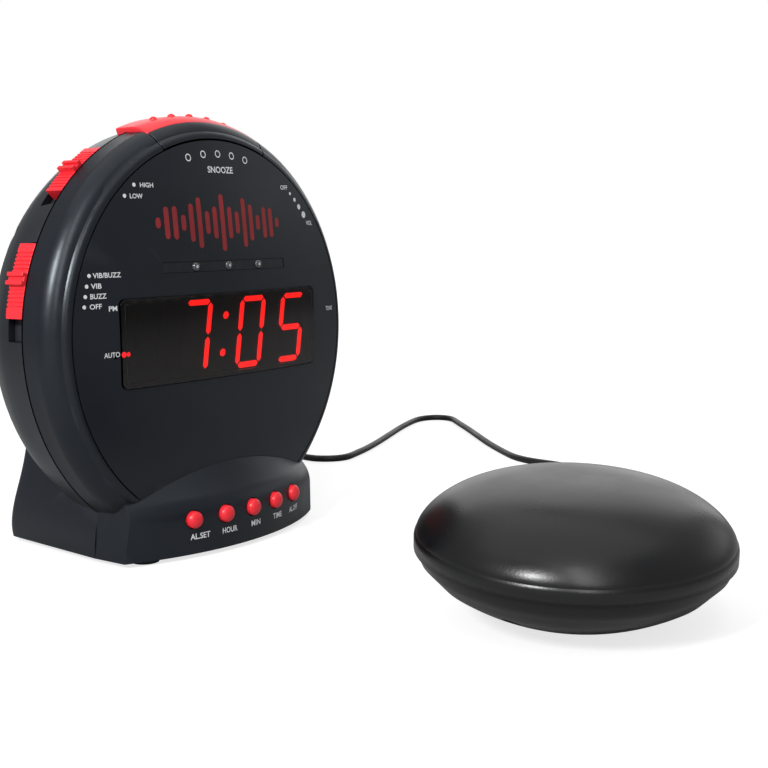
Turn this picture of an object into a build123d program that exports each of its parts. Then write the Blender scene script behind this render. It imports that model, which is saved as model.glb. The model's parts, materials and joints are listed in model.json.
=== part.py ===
# A bed shaker alarm clock: a drum-shaped clock on a hooded foot, and the shaker puck
# that goes under the pillow, joined by a thin lead that is partly put away in a coil.
#
# Millimetres. +Z is up and z = 0 is the table top. The clock looks along -Y. The origin is
# the middle of the pair's footprint, so the clock stands behind it and the puck in front.
from build123d import *
from math import atan2, ceil, cos, degrees, hypot, pi, radians, sin, tan
import os

os.makedirs("parts", exist_ok=True)

# Where the clock stands
face_y = 59.5           # depth of the groove round the face
axis_h = 72.5           # height of the drum's axis above the table

# Clearances
run_gap = 0.3           # between pieces that move past each other
snug_gap = 0.12         # round a piece that is dropped into its place
overrun = 5.0           # how far a cut runs past what it cuts

# The drum
drum_r = 71.8           # where the two shells meet
seam_y = 14.4
face_r = drum_r - 6.8   # radius of the groove round the face
bead_r = drum_r - 4.3   # crease between the rim's inner bead and its shoulder
bead_y = 1.7
bead_bulge_r = drum_r - 5.25
bead_bulge_y = 0.5
shoulder_r = drum_r - 1.6
shoulder_y = 3.9
side_r = drum_r - 0.2
side_y = 9.0
drum_back_r = drum_r - 2.2
drum_back_y = 27.1
cone_mid_r = 59.5
cone_mid_y = 44.0
back_r = 42.0           # flat round back behind the speaker
back_y = 57.0
wall = 2.2
ledge_w = 2.6           # step that the face panel lies on
ledge_t = 2.4

# The foot
pad_h = 1.6             # rubber pads hold the shells this high
foot_low_w = 47.1       # half width at the bottom, at the seam
foot_side_w = 45.2      # half width where the drum's side comes down on it
foot_side_h = 16.7
hood_axis_y = 80.3      # upright axis that the bowed front is turned about
hood_low_r = 92.7
hood_r = 93.0
hood_h = 13.2           # height of the row of buttons
hood_slope_r = 89.7
hood_slope_h = 20.8
hood_top_r = 80.2
hood_top_h = 32.0
pedestal_h = 62.0
pedestal_back_y = 64.6
pedestal_corner_r = 4.0
pedestal_height_shares = (0.0, 0.186, 0.341, 0.48, 1.0)
pedestal_front_shares = (1.0, 0.968, 0.91, 0.86, 0.79)
pedestal_back_shares = (0.89, 0.89, 0.85, 0.82, 0.76)
pedestal_depth_shares = (1.0, 0.985, 0.957, 0.935, 0.87)

# The face panel, its window and its lamps
dome_rise = 5.1         # how far the middle of the face stands before its edge
panel_t = 2.2
panel_gap = 0.45
window_w = 94.9
window_h = 28.0
window_drop = 0.35      # the window's middle lies this far below the axis
window_corner_r = 2.0
lens_proud = 0.45
lens_t = 1.0
lens_gap = 0.35
module_w = 88.0
module_h = 25.0
module_t = 8.0
module_front_y = -1.6
digit_h = 22.6
digit_w = 11.2
digit_pitch = 21.2
digit_slant = 6.0
digit_middle_x = 1.3
colon_gap = 4.8         # extra room between the second and third digit
segment_w = 2.0
segment_t = 0.2
segment_space = 0.45
colon_dot_r = 1.15
colon_dot_rise = 6.2
bar_w = 59.7            # dark strip with the three lamps above the window
bar_h = 3.3
bar_rise = 22.9
bar_t = 1.8
lamp_r = 1.5
lamp_spread = 15.3
lamp_proud = 0.7
side_lamp_r = 1.1       # the red dot at the window's left edge
side_lamp_rise = -3.4

# Circuit boards
board_t = 1.6
main_board_w = 104.0
main_board_h = 58.0
main_board_rise = 0.0
post_r = 3.2
post_in = 5.0           # the posts stand this far inside the board's corners
ring_board_in_r = 50.0
ring_board_out_r = drum_r - 5.4
ring_board_y = 24.4
board_post_angles = (10.0, 70.0, 193.0)

# Screwed bosses that join the shells
boss_r = 3.4
boss_circle_r = drum_r - 7.4
boss_angles = (25.0, 148.0, 215.0, 325.0)
boss_split_y = 21.0
screw_r = 1.4
screw_head_r = 2.6
screw_head_t = 2.0
screw_well_y = 30.0
screw_bite = 7.0

# The snooze bar over the top
snooze_half_deg = 21.5
snooze_gap_deg = 0.45
snooze_lip_gap = 0.15   # from the face's groove to the bar
snooze_switch_gap = 0.6 # from the bar's stem to its switch
snooze_switch_l = 7.5
cap_front_y = 5.2       # the cap rises flush from the rim's shoulder
cap_slope_y = 8.0
cap_crown_y = 12.0
cap_back_y = 19.5
cap_in_r = drum_r - 1.7
cap_lip_r = drum_r - 0.9
cap_slope_r = drum_r + 0.6
cap_out_r = drum_r + 1.4
cap_edge = 0.6
bump_r = 1.5
bump_rise = 0.9
bump_step_deg = 6.6
bump_y = 12.0

# The two sliders on the left of the rim
slider_from_y = 14.8
slider_to_y = 22.3
slider_out_r = drum_r + 0.1
slider_t = 1.7
flange_t = 1.2
flange_over = 1.0
rib_deg = 1.05
rib_cut = 0.45
rib_cut_deg = 0.45
rib_count = 5
fin_h = 2.7
fin_deg = 0.95
fin_space_deg = 1.15
slot_side_gap = 0.45
slot_end_gap = 0.4
tab_r = drum_r - 8.6
tab_deg = 3.0
tab_from_y = 17.0
tab_to_y = 19.5
switch_in_r = drum_r - 15.8
switch_deg = 13.0
mode_from_deg = 154.1   # anticlockwise from the right, seen from the front
mode_to_deg = 173.1
mode_travel_deg = 5.4
mode_grip_deg = 163.4
dimmer_from_deg = 121.4
dimmer_to_deg = 138.6
dimmer_travel_deg = 3.5
dimmer_grip_deg = 130.5

# The two thumbwheels on the right of the rim
wheel_r = 9.5
wheel_t = 3.6
wheel_y = 17.6
wheel_proud = 1.5
wheel_teeth = 30
wheel_tooth_r = 0.55
wheel_slot_half = 8.8
wheel_slot_gap = 0.5
wheel_shaft_r = 1.6
wheel_shaft_l = 2.4
shaft_gap = 0.06        # round a shaft that turns in its bearing
pot_r = 3.6
volume_deg = 46.9
tone_deg = 4.6

# The five buttons in the hood
button_xs = (-25.0, -12.5, 0.0, 12.5, 25.0)
button_r = 2.85
button_gap = 0.35
button_proud = 0.6
button_dome = 1.1
button_flange_r = 3.7
button_flange_in = 0.9  # from the hood's inner wall to the flange
button_flange_t = 1.0
button_stem_r = 1.4
button_stem_l = 3.4
button_travel = 0.8
switch_gap = 0.9        # from a stem's end to its switch
switch_w = 6.0
switch_t = 3.4
rail_t = 3.0
rail_h = 9.0
rail_half_deg = 20.0

# The speaker behind the round back
speaker_r = 28.5
speaker_flange_t = 2.0
cone_r = 25.0
basket_r = 15.0
basket_y = 43.0
cone_t = 0.8
dust_cap_r = 7.0
magnet_r = 16.0
magnet_t = 8.0
grille_r = 25.0
grille_slots = 9
grille_slot_w = 2.4
grille_pitch = 5.0
speaker_screw_r = 1.2
speaker_screw_circle_r = 30.2
speaker_screw_head_r = 2.9
speaker_screw_head_t = 1.4

# The battery bay and the sockets in the pedestal
door_w = 56.0
door_from_y = 33.0
door_t = 1.8
door_tongue = 1.2
door_travel = 34.0
battery_l = 48.5
battery_w = 26.5
battery_t = 17.5
terminal_r = 3.2
terminal_l = 2.4
terminal_spread = 6.4
clip_t = 3.4
socket_w = 11.0
socket_l = 14.0
socket_h = 31.0
socket_back_y = 61.2    # the sockets' mouths, just proud of the pedestal
power_x = -24.0
power_r = 3.15
power_mouth = 4.6
power_pin_r = 1.0
power_deep = 9.0
power_deep_r = 2.8      # the plug's collar stops where the bore narrows
lead_jack_x = 24.0
lead_jack_r = 1.85
lead_jack_deep = 12.0
plug_r = 4.0
plug_l = 16.0
plug_tip_r = 1.7
plug_tip_l = 11.0
plug_tail_r = 2.3
plug_tail_l = 10.0

# Rubber pads under the foot
pad_r = 4.5
pad_sink = 0.6
pad_front_x = 36.0
pad_front_y = 2.6
pad_back_x = 34.2
pad_back_y = 56.0

# The shaker puck
puck_x = -11.9
puck_y = -80.3
puck_heading = 45.0     # its lead leaves this far round from +Y towards +X
puck_lean = 4.9         # the lead's stiff end holds that side up
puck_r = 43.2
puck_skirt_r = 43.7
puck_h = 38.2
puck_edge_h = 23.8      # crease between the dome and the skirt
puck_seam_h = 19.4
puck_edge_top_r = 36.4
puck_edge_top_h = 32.4
puck_edge_mid_r = 41.5
puck_edge_mid_h = 28.3
puck_brow_r = 28.2
puck_brow_h = 35.85
puck_dome_mid_r = 19.0
puck_dome_mid_h = 37.4
puck_crown_mid_r = 12.5
puck_crown_mid_h = 37.96
puck_crown_r = 5.0
puck_flat_r = 7.6
puck_bowl_r = 36.9
puck_bowl_h = 11.1
puck_bowl_mid_r = 24.0
puck_bowl_mid_h = 4.2
puck_bowl_top_r = 41.9
puck_bowl_top_h = 16.4
puck_wall = 2.4
puck_step = 0.35        # the skirt stands this far proud of the lower shell
puck_post_r = 3.4
puck_post_circle_r = 33.0
puck_screw_r = 1.3
puck_screw_head_r = 2.4
puck_screw_well_h = 12.8
puck_screw_head_t = 1.8
puck_screw_angles = (45.0, 135.0, 225.0, 315.0)
puck_screw_bite = 6.0
puck_tongue_h = 2.0
puck_tongue_t = 1.3
motor_r = 12.2
motor_l = 30.0
motor_h = 18.4
motor_shift = -6.0
motor_shaft_r = 1.2
motor_shaft_l = 11.0
weight_r = 11.0
weight_t = 8.0
weight_hub_r = 3.2
weight_gap = 1.2
clamp_t = 2.0
clamp_w = 9.0
clamp_post_r = 3.4
clamp_screw_r = 1.1
clamp_screw_head_r = 2.2
clamp_screw_bite = 5.0
boot_r = 3.6
boot_tip_r = 2.1
boot_l = 15.0
boot_inner_l = 2.0
boot_in = 7.4           # the boot's neck reaches this far in through the wall
boot_collar_r = 5.0

# The lead
lead_r = 1.5
coil_x = 60.0
coil_y = 195.5
coil_in_r = 14.1        # distance of the turns' crossings from the coil's middle
coil_pitch = 3.86       # between turns
coil_pitch_up = 3.86    # between layers
coil_section_sides = 8
bend_share = 0.45       # share of a run that its bends may use at each end
tail_corners = ((24.0, 158.0, 31.0), (27.5, 170.0, 24.0), (35.0, 180.0, 16.4), (38.2, 188.0, 13.08))
table_corners = ((81.8, 187.5, 1.5), (84.0, 176.5, 1.5), (93.0, 167.0, 1.5), (106.0, 161.0, 1.5),
                 (119.0, 156.5, 1.5), (130.0, 148.0, 1.5), (133.4, 137.0, 1.5), (130.6, 126.9, 1.5),
                 (134.0, 118.9, 1.5), (141.6, 114.6, 1.5), (152.5, 117.4, 1.5), (165.0, 120.6, 1.5),
                 (180.3, 125.8, 1.5), (201.3, 133.7, 1.5), (224.5, 142.7, 1.5), (245.4, 149.6, 1.5),
                 (258.6, 152.2, 1.5), (267.4, 147.0, 1.5), (267.8, 137.2, 1.5), (257.4, 127.0, 1.5),
                 (242.1, 111.1, 1.5), (226.4, 95.6, 1.5), (211.6, 81.1, 1.5), (199.9, 68.7, 1.5),
                 (190.2, 57.7, 1.5), (182.6, 48.4, 1.5), (178.2, 38.0, 1.5), (177.0, 25.0, 1.5),
                 (174.0, 12.0, 1.5), (163.0, 0.0, 1.5), (146.0, -7.0, 1.5), (124.0, -9.0, 1.5),
                 (100.0, -7.0, 1.5))
rise_corners = ((80.0, -9.0, 1.5), (64.0, -13.0, 7.0), (50.0, -20.0, 18.5), (36.8, -31.6, 26.0))
coil_half_turns = 4     # in one layer, before it climbs to the next
coil_layers = 4


# Planes and helpers

def facing(depth):
    """The upright plane this far behind the face's groove, seen from the front, centred on the drum."""
    return Plane(origin=(0, face_y + depth, axis_h), x_dir=(1, 0, 0), z_dir=(0, -1, 0))


def level(height):
    """The level plane at this height, with its origin under the middle of the face."""
    return Plane(origin=(0, face_y, height), x_dir=(1, 0, 0), z_dir=(0, 0, 1))


def spoke(angle, radius, depth):
    """The plane that touches the rim at an angle: x runs back, y round the rim, z outwards."""
    out = Vector(cos(radians(angle)), 0, sin(radians(angle)))
    origin = Vector(0, face_y + depth, axis_h) + out * radius
    return Plane(origin=origin, x_dir=(0, 1, 0), z_dir=out)


def round_point(radius, angle):
    """The point of a facing plane at this radius and angle."""
    return (radius * cos(radians(angle)), radius * sin(radians(angle)))


profile_plane = Plane(origin=(0, face_y, axis_h), x_dir=(0, 1, 0), z_dir=(1, 0, 0))
drum_axis = Axis((0, face_y, axis_h), (0, 1, 0))
hood_plane = Plane(origin=(0, face_y + hood_axis_y, 0), x_dir=(0, -1, 0), z_dir=(-1, 0, 0))
hood_axis = Axis((0, face_y + hood_axis_y, 0), (0, 0, 1))
inner_r = drum_r - wall
dome_r = (face_r ** 2 + dome_rise ** 2) / (2 * dome_rise)


def dome_y(radius, behind=0):
    """Depth of the domed face at this distance from its middle, or of a surface behind it."""
    return dome_r - dome_rise - ((dome_r - behind) ** 2 - radius ** 2) ** 0.5


def rim_sector(r_in, r_out, from_deg, to_deg, from_y, to_y):
    """A block of the rim between two radii, two angles and two depths."""
    with BuildPart() as block:
        with BuildSketch(facing(from_y)):
            with BuildLine():
                inner = CenterArc((0, 0), r_in, from_deg, to_deg - from_deg)
                outer = CenterArc((0, 0), r_out, from_deg, to_deg - from_deg)
                Line(inner @ 0, outer @ 0)
                Line(inner @ 1, outer @ 1)
            make_face()
        extrude(amount=from_y - to_y)
    return block.part


def turned(points, plane=profile_plane, axis=drum_axis):
    """A solid turned from a closed outline of straight sides."""
    with BuildPart() as solid:
        with BuildSketch(plane):
            with BuildLine():
                Polyline(*points, close=True)
            make_face()
        revolve(axis=axis)
    return solid.part


def rod(plane, radius, length):
    """A round bar that starts on a plane and runs out along its normal."""
    with BuildPart() as bar:
        with BuildSketch(plane):
            Circle(radius)
        extrude(amount=length)
    return bar.part


def block(plane, width, height, length):
    """A square bar that starts on a plane and runs out along its normal."""
    with BuildPart() as bar:
        with BuildSketch(plane):
            Rectangle(width, height)
        extrude(amount=length)
    return bar.part


def side_w(height):
    """Half width of the front foot at a height: its sides lean in steadily from the bottom."""
    lean = (foot_low_w - foot_side_w) / (foot_side_h - pad_h)
    return foot_low_w - lean * (height - pad_h)


def front_foot(inset, back, low):
    """The bowed foot under the face, drawn in by inset, with its bottom at low."""
    with BuildPart() as foot:
        with BuildSketch(hood_plane):
            with BuildLine():
                Line((0, low), (hood_low_r - inset, low))
                Line((hood_low_r - inset, low), (hood_r - inset, hood_h))
                TangentArc((hood_r - inset, hood_h), (hood_slope_r - inset, hood_slope_h), tangent=(0, 1))
                Line((hood_slope_r - inset, hood_slope_h), (hood_top_r - inset, hood_top_h))
                Polyline((hood_top_r - inset, hood_top_h), (0, hood_top_h), (0, low))
            make_face()
        revolve(axis=hood_axis)
        with BuildSketch(Plane(origin=(0, face_y + back, 0), x_dir=(1, 0, 0), z_dir=(0, -1, 0))):
            with BuildLine():
                Polyline((-side_w(low) + inset, low), (side_w(low) - inset, low),
                         (side_w(hood_top_h) - inset, hood_top_h),
                         (inset - side_w(hood_top_h), hood_top_h), close=True)
            make_face()
        extrude(amount=back + hood_r, mode=Mode.INTERSECT)
    return foot.part


def rear_foot(inset, low):
    """The pedestal behind the seam, drawn in by inset, lofted through level sections."""
    with BuildPart() as foot:
        for station in range(len(pedestal_height_shares)):
            height = pad_h + pedestal_height_shares[station] * pedestal_h
            front = foot_low_w * pedestal_front_shares[station] - inset
            back = foot_low_w * pedestal_back_shares[station] - inset
            depth = pedestal_back_y * pedestal_depth_shares[station] - inset
            with BuildSketch(level(height)) as section:
                with BuildLine():
                    Polyline((-front, seam_y), (front, seam_y), (back, depth), (-back, depth), close=True)
                make_face()
                fillet(section.vertices().group_by(Axis.Y)[-1], radius=pedestal_corner_r - inset)
        loft()
        if low > pad_h:
            with BuildSketch(level(0)):
                Rectangle(4 * foot_low_w, 4 * pedestal_back_y)
            extrude(amount=low, mode=Mode.SUBTRACT)
    return foot.part


# Cuts and inner spaces that more than one piece shares

below_shells = block(level(pad_h), 4 * drum_r, 4 * drum_r, -drum_r)
snooze_slot = rim_sector(face_r - ledge_w - snug_gap, drum_r + overrun,
                         90 - snooze_half_deg - snooze_gap_deg,
                         90 + snooze_half_deg + snooze_gap_deg, -overrun, cap_back_y + run_gap)
button_angles = [degrees(atan2(x, (hood_r ** 2 - x ** 2) ** 0.5)) for x in button_xs]


def button_plane(angle, radius):
    """The upright plane across a button's axis, facing out of the hood, at a radius from the hood's axis."""
    out = Vector(sin(radians(angle)), -cos(radians(angle)), 0)
    origin = Vector(0, face_y + hood_axis_y, hood_h) + out * radius
    return Plane(origin=origin, x_dir=(cos(radians(angle)), sin(radians(angle)), 0), z_dir=out)


# Front shell: the rim round the face and the bowed foot in one moulding
foot_outside = front_foot(0, seam_y, pad_h)
foot_inside = front_foot(wall, seam_y + overrun, pad_h + wall)
with BuildPart() as front_shell:
    with BuildSketch(profile_plane):
        with BuildLine():
            ThreePointArc((0, face_r), (bead_bulge_y, bead_bulge_r), (bead_y, bead_r))
            ThreePointArc((bead_y, bead_r), (shoulder_y, shoulder_r), (side_y, side_r))
            Polyline((side_y, side_r), (seam_y, drum_r), (seam_y, inner_r),
                     (panel_t + snug_gap + ledge_t, inner_r - wall),
                     (panel_t + snug_gap + ledge_t, face_r - ledge_w),
                     (panel_t + snug_gap, face_r - ledge_w),
                     (panel_t + snug_gap, face_r), (0, face_r))
        make_face()
    revolve(axis=drum_axis)
    add(foot_outside)
    add(foot_inside, mode=Mode.SUBTRACT)
    for angle in boss_angles:
        with BuildSketch(facing(panel_t + snug_gap + ledge_t / 2)):
            with Locations(round_point(boss_circle_r, angle)):
                Circle(boss_r)
        extrude(amount=panel_t + snug_gap + ledge_t / 2 - boss_split_y)
        with BuildSketch(facing(boss_split_y)):
            with Locations(round_point(boss_circle_r, angle)):
                Circle(screw_r + snug_gap / 2)
        extrude(amount=screw_bite, mode=Mode.SUBTRACT)
    add(snooze_slot, mode=Mode.SUBTRACT)
    for angle in button_angles:
        with BuildSketch(button_plane(angle, hood_r + overrun)):
            Circle(button_r + button_gap)
        extrude(amount=-(overrun + 2 * wall), mode=Mode.SUBTRACT)
    with BuildSketch(level(pad_h)):
        with Locations((-pad_front_x, pad_front_y), (pad_front_x, pad_front_y)):
            Circle(pad_r + snug_gap)
    extrude(amount=pad_sink, mode=Mode.SUBTRACT)
    add(below_shells, mode=Mode.SUBTRACT)
front_shell.part.label = "front_shell"

# Rear shell: the tapering back of the drum and the pedestal in one moulding
drum_back_outline = [(seam_y, 0), (seam_y, drum_r), (drum_back_y, drum_back_r)]
with BuildPart() as drum_back:
    with BuildSketch(profile_plane):
        with BuildLine():
            Polyline(*drum_back_outline)
            ThreePointArc((drum_back_y, drum_back_r), (cone_mid_y, cone_mid_r), (back_y - wall, back_r))
            Polyline((back_y - wall, back_r), (back_y, back_r - wall), (back_y, 0), (seam_y, 0))
        make_face()
    revolve(axis=drum_axis)
with BuildPart() as drum_hollow:
    with BuildSketch(profile_plane):
        with BuildLine():
            Polyline((seam_y - overrun, 0), (seam_y - overrun, inner_r), (seam_y, inner_r),
                     (drum_back_y - wall / 2, drum_back_r - wall))
            ThreePointArc((drum_back_y - wall / 2, drum_back_r - wall),
                          (cone_mid_y - wall / 2, cone_mid_r - wall), (back_y - wall, back_r - 2 * wall))
            Polyline((back_y - wall, back_r - 2 * wall), (back_y - wall, 0), (seam_y - overrun, 0))
        make_face()
    revolve(axis=drum_axis)

wheel_circle_r = drum_r + wheel_proud - wheel_r
battery_y = door_from_y + run_gap + battery_w / 2
with BuildPart() as rear_bosses:
    for angle in boss_angles:
        with BuildSketch(facing(boss_split_y)):
            with Locations(round_point(boss_circle_r, angle)):
                Circle(boss_r)
        extrude(amount=boss_split_y - back_y)
    for angle in board_post_angles:
        with BuildSketch(facing(ring_board_y + board_t)):
            with Locations(round_point(ring_board_in_r + post_r, angle)):
                Circle(post_r)
        extrude(amount=ring_board_y + board_t - back_y)
    add(drum_back.part, mode=Mode.INTERSECT)

# Everything that is open in the rear shell, cut in one go
with BuildPart() as rear_cuts:
    add(snooze_slot)
    add(rim_sector(inner_r - overrun, drum_r + overrun, mode_from_deg - slot_end_gap,
                   mode_to_deg + mode_travel_deg + slot_end_gap, seam_y - overrun,
                   slider_to_y + slot_side_gap))
    add(rim_sector(inner_r - overrun, drum_r + overrun, dimmer_from_deg - slot_end_gap,
                   dimmer_to_deg + dimmer_travel_deg + slot_end_gap, seam_y - overrun,
                   slider_to_y + slot_side_gap))
    for angle in (volume_deg, tone_deg):
        with BuildSketch(spoke(angle, drum_r + overrun, wheel_y + wheel_t / 2)):
            Rectangle(wheel_t + 2 * wheel_slot_gap, 2 * wheel_slot_half)
        extrude(amount=-(overrun + 3 * wall))
    # Screw holes and the wells that their heads lie in
    with BuildSketch(facing(boss_split_y - run_gap)):
        with Locations(*[round_point(boss_circle_r, angle) for angle in boss_angles]):
            Circle(screw_r + snug_gap)
    extrude(amount=boss_split_y - back_y)
    with BuildSketch(facing(screw_well_y)):
        with Locations(*[round_point(boss_circle_r, angle) for angle in boss_angles]):
            Circle(screw_head_r + snug_gap)
    extrude(amount=screw_well_y - back_y)
    # Speaker grille and the holes for the speaker's screws
    with BuildSketch(facing(pedestal_back_y)):
        for row in range(grille_slots):
            rise = (row - (grille_slots - 1) / 2) * grille_pitch
            with Locations((0, rise)):
                SlotOverall(2 * (grille_r ** 2 - rise ** 2) ** 0.5, grille_slot_w)
    extrude(amount=pedestal_back_y - back_y + 2 * wall)
    with BuildSketch(facing(back_y - wall / 4)):
        with Locations(*[round_point(speaker_screw_circle_r, angle) for angle in boss_angles]):
            Circle(speaker_screw_r + snug_gap / 2)
    extrude(amount=2 * wall)
    # Battery door with its grooves, sockets and pads
    with BuildSketch(level(pad_h - overrun)):
        with Locations((0, (door_from_y - run_gap + pedestal_back_y + overrun) / 2)):
            Rectangle(door_w + 2 * run_gap, pedestal_back_y + overrun + run_gap - door_from_y)
    extrude(amount=overrun + wall + snug_gap)
    with BuildSketch(level(pad_h + door_t / 3)):
        with Locations((0, (door_from_y - run_gap + pedestal_back_y + overrun) / 2)):
            Rectangle(door_w + 2 * door_tongue + 2 * run_gap, pedestal_back_y + overrun + run_gap - door_from_y)
    extrude(amount=door_t / 3 + 2 * snug_gap)
    with BuildSketch(level(socket_h - socket_w / 2 - snug_gap)):
        with Locations((power_x, pedestal_back_y), (lead_jack_x, pedestal_back_y)):
            Rectangle(socket_w + 2 * snug_gap, 8 * wall)
    extrude(amount=socket_w + 2 * snug_gap)
    with BuildSketch(level(pad_h - overrun)):
        with Locations((-pad_back_x, pad_back_y), (pad_back_x, pad_back_y)):
            Circle(pad_r + snug_gap)
    extrude(amount=overrun + pad_sink)
    add(below_shells)

with BuildPart() as rear_shell:
    add(drum_back.part)
    add(rear_foot(0, pad_h))
    add([drum_hollow.part, rear_foot(wall, pad_h + wall)], mode=Mode.SUBTRACT)
    add(rear_bosses.part)
    # Rib that backs the battery's snap clip
    with BuildSketch(level(pad_h + wall)):
        with Locations((-battery_l / 2 - clip_t - 3 * snug_gap - wall / 2, battery_y)):
            Rectangle(wall, battery_w)
    extrude(amount=battery_t)
    add(rear_cuts.part, mode=Mode.SUBTRACT)
rear_shell.part.label = "rear_shell"


# Face panel: a shallow dome with the window's seat, the lamp strip's slot and four board posts

def domed_plate(front, behind, edge_r):
    """A round plate between two surfaces that lie behind the domed face, out to a radius."""
    with BuildPart() as plate:
        with BuildSketch(profile_plane):
            with BuildLine():
                outer = ThreePointArc((dome_y(edge_r, front), edge_r),
                                      (dome_y(edge_r / 2, front), edge_r / 2), (dome_y(0, front), 0))
                inner = ThreePointArc((dome_y(edge_r, behind), edge_r),
                                      (dome_y(edge_r / 2, behind), edge_r / 2), (dome_y(0, behind), 0))
                Line(outer @ 0, inner @ 0)
                Line(outer @ 1, inner @ 1)
            make_face()
        revolve(axis=drum_axis)
    return plate.part


def face_block(rise, width, height, corner_r):
    """A rounded bar that runs through the face, at a rise over the drum's axis."""
    with BuildPart() as bar:
        with BuildSketch(facing(0)):
            with Locations((0, rise)):
                RectangleRounded(width, height, corner_r)
        extrude(amount=dome_rise + overrun, both=True)
    return bar.part


panel_r = face_r - panel_gap
lens_seat = lens_t - lens_proud + snug_gap
board_y = module_front_y + module_t
post_x = main_board_w / 2 - post_in
post_rise = main_board_h / 2 - post_in
post_places = [(x, main_board_rise + z) for x in (-post_x, post_x) for z in (-post_rise, post_rise)]
lamp_places = [(x, bar_rise) for x in (-lamp_spread, 0, lamp_spread)]
side_lamp_x = -(window_w / 2 + lens_gap + side_lamp_r + snug_gap + lens_gap)
lens_recess = domed_plate(-overrun, lens_seat, face_r) & face_block(
    -window_drop, window_w + 2 * lens_gap, window_h + 2 * lens_gap, window_corner_r + lens_gap)

with BuildPart() as face_panel:
    add(domed_plate(0, panel_t, panel_r))
    for x, rise in post_places:
        with BuildSketch(facing(board_y)):
            with Locations((x, rise)):
                Circle(post_r)
        extrude(amount=board_y - dome_y(hypot(x, rise), panel_t / 2))
    add([lens_recess,
         face_block(-window_drop, module_w + 2 * run_gap, module_h + 2 * run_gap, window_corner_r / 4),
         face_block(bar_rise, bar_w + 2 * snug_gap, bar_h + 2 * snug_gap, bar_h / 8),
         front_foot(-snug_gap, seam_y + overrun, pad_h)], mode=Mode.SUBTRACT)
    with BuildSketch(facing(-overrun)):
        with Locations((side_lamp_x, side_lamp_rise)):
            Circle(side_lamp_r + snug_gap)
    extrude(amount=-2 * overrun, mode=Mode.SUBTRACT)
face_panel.part.label = "face_panel"

with BuildPart() as display_lens:
    add(domed_plate(-lens_proud, lens_t - lens_proud, face_r))
    add(face_block(-window_drop, window_w, window_h, window_corner_r), mode=Mode.INTERSECT)
display_lens.part.label = "display_lens"

with BuildPart() as display_module:
    with BuildSketch(facing(module_front_y)):
        with Locations((0, -window_drop)):
            Rectangle(module_w, module_h)
    extrude(amount=-module_t)
display_module.part.label = "display_module"


# Digits: which of the seven strokes are lit, counted top, right pair, bottom, left pair, middle

def stroke(middle_x, middle_rise, half_length, upright):
    """One pointed stroke of a digit, leaning with the rest."""
    half_width = segment_w / 2
    points = [(-half_length, 0), (half_width - half_length, half_width),
              (half_length - half_width, half_width), (half_length, 0),
              (half_length - half_width, -half_width), (half_width - half_length, -half_width)]
    if upright:
        points = [(rise, along) for along, rise in points]
    lean = tan(radians(digit_slant))
    return [(middle_x + x + (middle_rise + rise) * lean, middle_rise + rise - window_drop) for x, rise in points]


def strokes(middle_x):
    """The seven strokes of a digit."""
    side = (digit_w - segment_w) / 2
    reach = (digit_h - segment_w) / 2
    across = side - segment_space
    down = reach / 2 - segment_space
    return (stroke(middle_x, reach, across, False), stroke(middle_x + side, reach / 2, down, True),
            stroke(middle_x + side, -reach / 2, down, True), stroke(middle_x, -reach, across, False),
            stroke(middle_x - side, -reach / 2, down, True), stroke(middle_x - side, reach / 2, down, True),
            stroke(middle_x, 0, across, False))


shown = ((), (0, 1, 2, 5), (0, 1, 2, 3, 4, 5), (0, 2, 3, 5, 6))
digit_places = [digit_middle_x + (place - 1.5) * digit_pitch + colon_gap * (-0.5, -0.5, 0.5, 0.5)[place]
                for place in range(len(shown))]
lit = [strokes(x)[stroke_number] for x, lit_strokes in zip(digit_places, shown) for stroke_number in lit_strokes]
unlit = [strokes(x)[stroke_number] for x, lit_strokes in zip(digit_places, shown)
         for stroke_number in range(len(shown[2]) + 1) if stroke_number not in lit_strokes]

with BuildPart() as lit_digits:
    with BuildSketch(facing(module_front_y)):
        for outline in lit:
            with BuildLine():
                Polyline(*outline, close=True)
            make_face()
        lean = tan(radians(digit_slant)) * colon_dot_rise
        with Locations((digit_middle_x - lean, -colon_dot_rise - window_drop),
                       (digit_middle_x + lean, colon_dot_rise - window_drop)):
            Circle(colon_dot_r)
    extrude(amount=segment_t)
lit_digits.part.label = "lit_digits"

with BuildPart() as unlit_digits:
    with BuildSketch(facing(module_front_y)):
        for outline in unlit:
            with BuildLine():
                Polyline(*outline, close=True)
            make_face()
    extrude(amount=segment_t)
unlit_digits.part.label = "unlit_digits"

with BuildPart() as lamp_strip:
    add(domed_plate(segment_t, bar_t, face_r))
    add(face_block(bar_rise, bar_w, bar_h, bar_h / 8), mode=Mode.INTERSECT)
    with BuildSketch(facing(-dome_rise - overrun)):
        with Locations(*lamp_places):
            Circle(lamp_r + snug_gap)
    extrude(amount=-3 * overrun, mode=Mode.SUBTRACT)
lamp_strip.part.label = "lamp_strip"


def light_pipe(x, rise, radius, proud):
    """A clear pipe with a round nose, from the main board out through the face."""
    nose_y = dome_y(hypot(x, rise)) - proud
    with BuildPart() as pipe:
        with BuildSketch(facing(board_y)):
            with Locations((x, rise)):
                Circle(radius)
        extrude(amount=board_y - nose_y)
        nose = pipe.edges().group_by(Axis.Y)[0]
        fillet(nose, radius=radius * 0.6)
    return pipe.part


with BuildPart() as status_lamps:
    for x, rise in lamp_places:
        add(light_pipe(x, rise, lamp_r, lamp_proud))
status_lamps.part.label = "status_lamps"

with BuildPart() as alarm_lamp:
    add(light_pipe(side_lamp_x, side_lamp_rise, side_lamp_r, lamp_proud / 2))
alarm_lamp.part.label = "alarm_lamp"

with BuildPart() as main_board:
    with BuildSketch(facing(board_y)):
        with Locations((0, main_board_rise)):
            Rectangle(main_board_w, main_board_h)
    extrude(amount=-board_t)
main_board.part.label = "main_board"

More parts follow.
